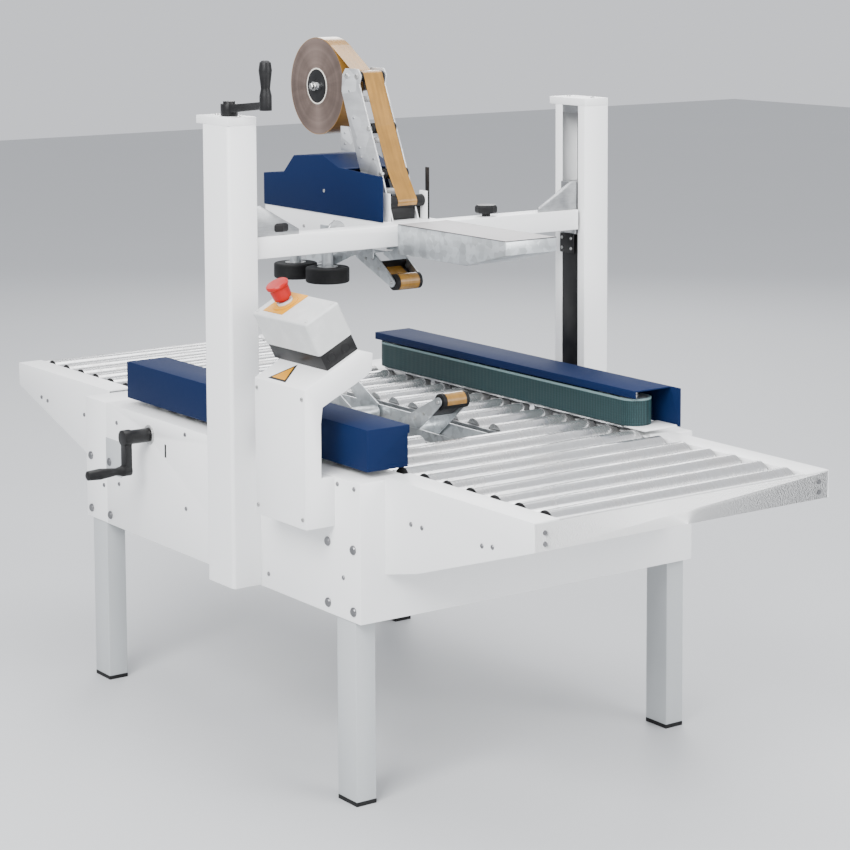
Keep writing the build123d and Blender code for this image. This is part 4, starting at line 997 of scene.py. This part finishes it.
@dataclass
class RollerEnds:
    """Dark end plugs of every roller, with a lip and a ring round the axle."""

    shop: Workshop
    pitch: float = 73.0
    axle_z: float = 616.0
    plug_y: float = 290.1
    fixed: range = range(-13, 8)
    turning: range = range(1, 7)
    outline: tuple[Spot, ...] = ((6.4, 0.0), (23.4, 0.0), (23.4, 0.8), (20.5, 1.4), (12.0, 0.7), (10.5, 1.8),
                                 (6.4, 1.8))

    def build(self) -> None:
        """Plug both ends of every roller."""
        for word, facing, y in (("near", Facing.NEAR, -self.plug_y), ("far", Facing.Y, self.plug_y)):
            places = [(k * self.pitch, y, self.axle_z) for k in self.fixed]
            self.shop.turned(f"{word}_roller_plugs", "black_rubber", BASE, self.outline, places, facing)
            for number in self.turning:
                place = ((self.fixed[-1] + number) * self.pitch, y, self.axle_z)
                self.shop.turned(f"{word}_plug_{number}", "black_rubber", f"roller_{number}", self.outline,
                                 [place], facing)


@dataclass
class Columns:
    """Slot cover of the far column, the carriage's plate, and the screws of plate and caps."""

    shop: Workshop
    cover: Box = ((119, 413.6, 700), (170, 414.6, 999))
    plate: Box = ((121, 404.4, 958), (168, 406.8, 1000))
    plate_screws_x: Spot = (129, 160)
    plate_screws_z: Spot = (968, 990)
    cap_screws_x: Spot = (100, 182)
    cap_screws_y: float = 445.0
    cap_top: float = 1295.0

    def build(self) -> None:
        """Make the cover, the plate and the screws."""
        self.shop.blocks("far_slot_cover", "black_plastic", HEAD, [self.cover], 0.2)
        self.shop.blocks("far_carriage_plate", "black_plastic", HEAD, [self.plate], 1.0)
        places = [(x, self.plate[0][1], z) for x in self.plate_screws_x for z in self.plate_screws_z]
        self.shop.screws("carriage_screws", HEAD, places, Facing.NEAR, 3.4)
        caps = [(x, side * self.cap_screws_y, self.cap_top) for x in self.cap_screws_x for side in (-1, 1)]
        self.shop.screws("cap_screws", BASE, caps, Facing.Z, 4.2)


@dataclass
class Beam:
    """Lock knobs and disc of the crossbeam, and the foot of the mast on it."""

    shop: Workshop
    top: float = 1055.0
    knob: tuple[Spot, ...] = ((0, 0), (9, 0), (9, 6), (22, 7), (24, 10), (24, 20), (21, 24), (8, 25),
                              (0, 25))
    knob_x: float = 157.0
    far_knob_y: float = 176.0
    near_knob_y: float = -345.0
    disc: tuple[Spot, ...] = ((0, 0), (20, 0), (21, 1), (21, 4), (20, 5), (9, 5), (9, 8), (0, 9))
    disc_place: Point = (122, -182, 1047)
    cheeks: tuple[Box, ...] = (((96, -48, 1055), (124, -46, 1114)), ((96, 46, 1055), (124, 48, 1114)))
    backs: tuple[Box, ...] = (((97, -46, 1055), (100, 46, 1082)), ((114, 48.5, 1055), (127, 50.5, 1164)))
    roller: tuple[Spot, ...] = ((0, 0), (11.5, 0), (12.6, 1), (12.6, 91), (11.5, 92), (0, 92))
    roller_y: float = -46.0

    def build(self) -> None:
        """Make the knobs, the disc and the mast's foot."""
        for name, y in (("far_lock_knob", self.far_knob_y), ("near_lock_knob", self.near_knob_y)):
            place = (self.knob_x, y, self.top)
            self.shop.turned(name, "black_plastic", HEAD, self.knob, [place], Facing.Z, 9)
        self.shop.turned("side_disc", "frame_steel", HEAD, self.disc, [self.disc_place], Facing.X, 40)
        self.shop.blocks("mast_foot_cheeks", "white_paint", HEAD, self.cheeks, 1.0)
        self.shop.blocks("mast_foot_back", "black_plastic", HEAD, self.backs, 0.8)
        axis = (FOOT_GUIDE.x, self.roller_y, FOOT_GUIDE.z)
        self.shop.turned("foot_roller", "black_rubber", HEAD, self.roller, [axis], Facing.Y, 32)


@dataclass
class TapeHead:
    """Screws of the guard and the head plates, the tray's mat, and the wheels' washers."""

    shop: Workshop
    guard_screw: Point = (-95, -67, 1104)
    mat: Box = ((184, -69, 1057.0), (545, 55, 1057.8))
    mat_edges: tuple[Box, ...] = (((184, -70.0, 1057.0), (546, -69.0, 1058.2)),
                                  ((545, -69, 1057.0), (546.5, 55, 1058.2)))
    plate_y: float = -65.0
    plate_screws: tuple[Spot, ...] = ((-310, 1020), (-180, 1020), (-60, 1040), (90, 1030))
    washer: tuple[Spot, ...] = ((12.6, 0), (22, 0), (22, 1.0), (18, 1.6), (12.6, 1.6))
    hub: tuple[Spot, ...] = ((6.2, 0), (24, 0), (24, -1.2), (20, -2.2), (6.2, -2.2))
    wheels: tuple[tuple[str, float, float], ...] = (("rear", -82, -150), ("front", 20, -136))
    wheel_top: float = 958.1
    wheel_foot: float = 925.9

    def build(self) -> None:
        """Make the screws, the mat and the washers."""
        self.shop.screws("guard_screws", HEAD, [self.guard_screw], Facing.NEAR, 4.0)
        self.shop.blocks("tray_mat", "tray_grey", HEAD, [self.mat], 0.3)
        self.shop.blocks("tray_edge", "black_plastic", HEAD, self.mat_edges, 0.2)
        plates = [(x, self.plate_y, z) for x, z in self.plate_screws]
        self.shop.screws("plate_screws", HEAD, plates, Facing.NEAR, 3.8)
        for word, x, y in self.wheels:
            body = f"{word}_wheel"
            self.shop.turned(f"{body}_washer", "bright_steel", body, self.washer, [(x, y, self.wheel_top)],
                             Facing.Z)
            self.shop.turned(f"{body}_hub", "frame_steel", body, self.hub, [(x, y, self.wheel_foot)],
                             Facing.Z)


@dataclass
class RollHolder:
    """Nut, ribs, lip and face of the upper roll's holder."""

    shop: Workshop
    nut: tuple[Spot, ...] = ((0, 0), (11, 0), (11, 1.5), (7.5, 1.7), (7.5, 8), (6.5, 9), (0, 9))
    nut_y: float = -33.0
    ribs: int = 6
    rib: Box = ((14.5, -24.5, -1.4), (33.5, -4.0, 1.4))
    rib_edge: float = 0.4
    lip: tuple[Spot, ...] = ((36.6, 0), (39.4, 0), (39.4, 0.8), (38, 1.1), (36.6, 0.8))
    lip_y: float = -25.0
    cap: tuple[Spot, ...] = ((15.4, 0), (35.5, 0), (36.4, 1.0), (34.0, 1.8), (20, 0.9), (15.4, 0.9))
    cap_y: float = -24.4

    def on_axis(self, y: float) -> Point:
        """Point of the roll's axis."""
        return UPPER_ROLL.x, y, UPPER_ROLL.z

    def build(self) -> None:
        """Make the holder's pieces."""
        self.shop.turned("roll_nut", "bright_steel", HEAD, self.nut, [self.on_axis(self.nut_y)],
                         Facing.NEAR, 6)
        shape = bmesh.new()
        for k in range(self.ribs):
            turn = Matrix.Rotation(k * 2 * math.pi / self.ribs, 4, "Y")
            turn = Matrix.Translation(metres(self.on_axis(0.0))) @ turn
            grow(shape, metres(self.rib[0]), metres(self.rib[1]), self.rib_edge * MM, turn)
        self.shop.finish("roll_hub_ribs", shape, "black_plastic", "top_roll")
        self.shop.turned("roll_core_lip", "core_card", "top_roll", self.lip, [self.on_axis(self.lip_y)],
                         Facing.NEAR, 64)
        self.shop.turned("roll_hub_face", "black_plastic", "top_roll", self.cap, [self.on_axis(self.cap_y)],
                         Facing.NEAR, 64)


@dataclass
class BeltUnit:
    """Spindle nut and end plate of the far belt unit."""

    shop: Workshop
    nut: tuple[Spot, ...] = ((0, 0), (12, 0), (12, 1.5), (9, 1.7), (9, 8), (0, 8.6))
    nut_place: Point = (480, 313, 705.6)
    end_plate: Box = ((484, 284, 641.7), (546, 372, 645.9))

    def build(self) -> None:
        """Make the nut and the plate."""
        self.shop.turned("far_idler_nut", "bright_steel", "far_unit", self.nut, [self.nut_place], Facing.Z, 6)
        self.shop.blocks("far_end_plate", "white_paint", "far_unit", [self.end_plate], 0.8)


@dataclass
class ControlPost:
    """Pieces on the sloping control box, measured in its slope's plane, and screws of its post."""

    shop: Workshop
    slope_foot: Point = (0.0, -478.0, 800.0)
    slope_angle: float = 27.0
    stop_plate: Box = ((285, 76, 105), (353, 144, 106.2))
    lid_top: float = 105.0
    lid_screws_x: Spot = (272, 445)
    lid_screws_up: Spot = (72, 136)
    ring: tuple[Spot, ...] = ((0, 0), (10, 0), (10, 0.8), (8.6, 1.0), (8.4, 0.5), (0, 0.4))
    ring_x: float = 452.0
    rings_up: Spot = (85, 120)
    ring_lift: float = 18.0
    sign: Spot = (352.0, 26.0)
    sign_layers: tuple[tuple[str, str, float, float], ...] = (
        ("sign_edge", "black_plastic", 36.0, 0.1), ("sign_face", "yellow_plastic", 26.5, 0.4))
    sign_sheet: float = 0.4
    post_y: float = -478.0
    post_screws_x: Spot = (293, 452)
    post_screws_z: Spot = (552, 782)
    stop: Spot = (319.0, 110.0)
    stop_head: tuple[Spot, ...] = (
        (0, 99), (11, 99), (11, 118.5), (17.5, 119), (18.3, 121), (18.6, 126), (19.8, 142), (22.6, 145),
        (22.9, 149), (21, 151), (12, 151.7), (0, 151.8))
    stop_ring: tuple[Spot, ...] = ((16.4, 105), (26.5, 105), (26.5, 107.6), (25.4, 108.4), (16.4, 108.4))
    stop_steps: int = 56

    def slope(self) -> Matrix:
        """Matrix from the slope's own plane to the machine."""
        turn = Matrix.Rotation(math.radians(self.slope_angle), 4, "X")
        return Matrix.Translation(metres(self.slope_foot)) @ turn

    def outward(self) -> Vector:
        """Direction that the slope faces."""
        return (self.slope().to_3x3() @ Vector((0, 0, 1))).normalized()

    def on_slope(self, x: float, up: float, lift: float) -> Point:
        """Point of the machine over a point of the slope."""
        return tuple(self.slope() @ Vector(metres((x, up, lift))) / MM)

    def fit_lid(self) -> None:
        """Make the yellow plate, the lid's screws, the knock-outs and the post's screws."""
        turn = self.slope()
        self.shop.blocks("stop_plate", "yellow_plastic", BASE, [self.stop_plate], 0.5, turn)
        lid = [self.on_slope(x, up, self.lid_top) for x in self.lid_screws_x for up in self.lid_screws_up]
        self.shop.screws("lid_screws", BASE, lid, self.outward(), 3.6, "lid_plastic")
        places = [self.on_slope(self.ring_x, up, self.ring_lift) for up in self.rings_up]
        self.shop.turned("knock_outs", "black_plastic", BASE, self.ring, places, Facing.X, 28)
        for name, look, reach, low in self.sign_layers:
            shape = bmesh.new()
            made = bmesh.ops.create_cone(shape, segments=3, radius1=reach * MM, radius2=reach * MM,
                                         depth=self.sign_sheet * MM, cap_ends=True)["verts"]
            middle = Matrix.Translation(metres((*self.sign, low + self.sign_sheet / 2)))
            bmesh.ops.transform(shape, matrix=turn @ middle, verts=made)
            self.shop.finish(name, shape, look, BASE)
        post = [(x, self.post_y, z) for x in self.post_screws_x for z in self.post_screws_z]
        self.shop.screws("pedestal_screws", BASE, post, Facing.NEAR, 4.2)

    def fit_stop(self) -> None:
        """Make the red mushroom head with its skirt, in place of the plain one, and its yellow ring."""
        foot = tuple(self.slope() @ Vector(metres((*self.stop, 0.0))))
        pieces = (("stop_head", self.stop_head, "red_plastic", "stop_button", ["estop_button"], 28.0),
                  ("stop_ring", self.stop_ring, "yellow_plastic", BASE, [], 32.0))
        for name, outline, look, body, replaces, smooth in pieces:
            shape = bmesh.new()
            turn_profile(shape, [metres(spot) for spot in outline], foot, self.outward(), self.stop_steps)
            self.shop.finish(name, shape, look, body, replaces, smooth)

    def build(self) -> None:
        """Make every piece of the control post."""
        self.fit_lid()
        self.fit_stop()


@dataclass
class Mast:
    """Screws and roller ends on the near plate of the mast."""

    shop: Workshop
    plate_y: float = -34.0
    small_screws: tuple[Spot, ...] = ((-46, 1318), (-30, 1262), (-8, 1200), (-2, 1180), (14, 1130),
                                      (44, 1180), (-64, 1205), (-64, 1228))

    def build(self) -> None:
        """Make the screws."""
        ends = [(guide.x, self.plate_y, guide.z) for guide in MAST_GUIDES]
        self.shop.screws("mast_axle_ends", HEAD, ends, Facing.NEAR, 6.0)
        small = [(x, self.plate_y, z) for x, z in self.small_screws]
        self.shop.screws("mast_screws", HEAD, small, Facing.NEAR, 2.6, "frame_steel")


@dataclass
class FrontArms:
    """Black spreaders and tape between the plates of the two front arms, and their screws."""

    shop: Workshop
    arms: tuple[tuple[str, str, Spot], ...] = (("upper", "top_front_arm", (-9.0, 990.0)),
                                               ("lower", "bottom_front_arm", (146.0, 616.0)))
    plate_y: float = -37.0
    spreader_y: float = 33.8
    tape_y: float = 24.0

    def build(self) -> None:
        """Make the pieces of both arms, along the line from pivot to roller."""
        for word, body, pivot in self.arms:
            roller = Wheel.of(f"{word}_front_roller")
            lean = math.atan2(roller.z - pivot[1], roller.x - pivot[0])
            run = math.hypot(roller.x - pivot[0], roller.z - pivot[1])
            turn = Matrix.Translation(metres((pivot[0], 0, pivot[1]))) @ Matrix.Rotation(-lean, 4, "Y")
            spreader = [((run - 62, -self.spreader_y, -7), (run - 22, self.spreader_y, -3)),
                        ((run - 62, -self.spreader_y, -7), (run - 58, self.spreader_y, 12))]
            self.shop.blocks(f"{word}_arm_spreader", "black_plastic", body, spreader, 0.8, turn)
            tape = [((run - 60, -self.tape_y, -3), (run - 22, self.tape_y, -2.5))]
            self.shop.blocks(f"{word}_arm_tape", "tape_film", body, tape, 0.1, turn)
            near = (turn.to_3x3() @ Vector((0, -1, 0))).normalized()
            heads = [tuple(turn @ Vector(metres((along, self.plate_y, across))) / MM)
                     for along, across in ((run, 0), (run * 0.62, 0), (run * 0.4, 6), (run * 0.25, -8))]
            self.shop.screws(f"{word}_arm_screws", body, heads, near, 3.6)


@dataclass
class SidePanel:
    """Grey plate of painted shade beside the crank, scale slot and crank collar on the near side of the base.
    """

    shop: Workshop
    # grey plate just proud of the panel: painted shade where the panel beside the crank looks recessed
    recess: Box = ((-452, -414.2, 473), (-381, -413, 552))
    slot: Box = ((-190, -413.8, 552), (-184, -413, 580))
    collar: tuple[Spot, ...] = ((6.3, 0), (21, 0), (21, 2.2), (19, 4.0), (6.3, 4.2))
    collar_place: Point = (-255.5, -413, 590)

    def build(self) -> None:
        """Make the painted shade plate, the slot and the collar."""
        # the grey plate paints the shade beside the crank
        self.shop.blocks("crank_shade_plate", "leg_paint", BASE, [self.recess], 0.5)
        self.shop.blocks("scale_slot", "black_plastic", BASE, [self.slot], 0.3)
        self.shop.turned("width_collar", "bright_steel", BASE, self.collar, [self.collar_place],
                         Facing.NEAR)


def main() -> None:
    """Build the studio, the finishes and every piece."""
    logging.basicConfig(level=logging.INFO, format="%(name)s: %(message)s")
    Studio().build()
    shop = Workshop(Palette().build())
    for assembly in (FrameDress, TapeRun, RollerEnds, Columns, Beam, TapeHead, RollHolder, BeltUnit,
                     ControlPost, Mast, FrontArms, SidePanel):
        assembly(shop).build()
    LOG.info("%d pieces", shop.count)


if __name__ == "__main__":
    main()
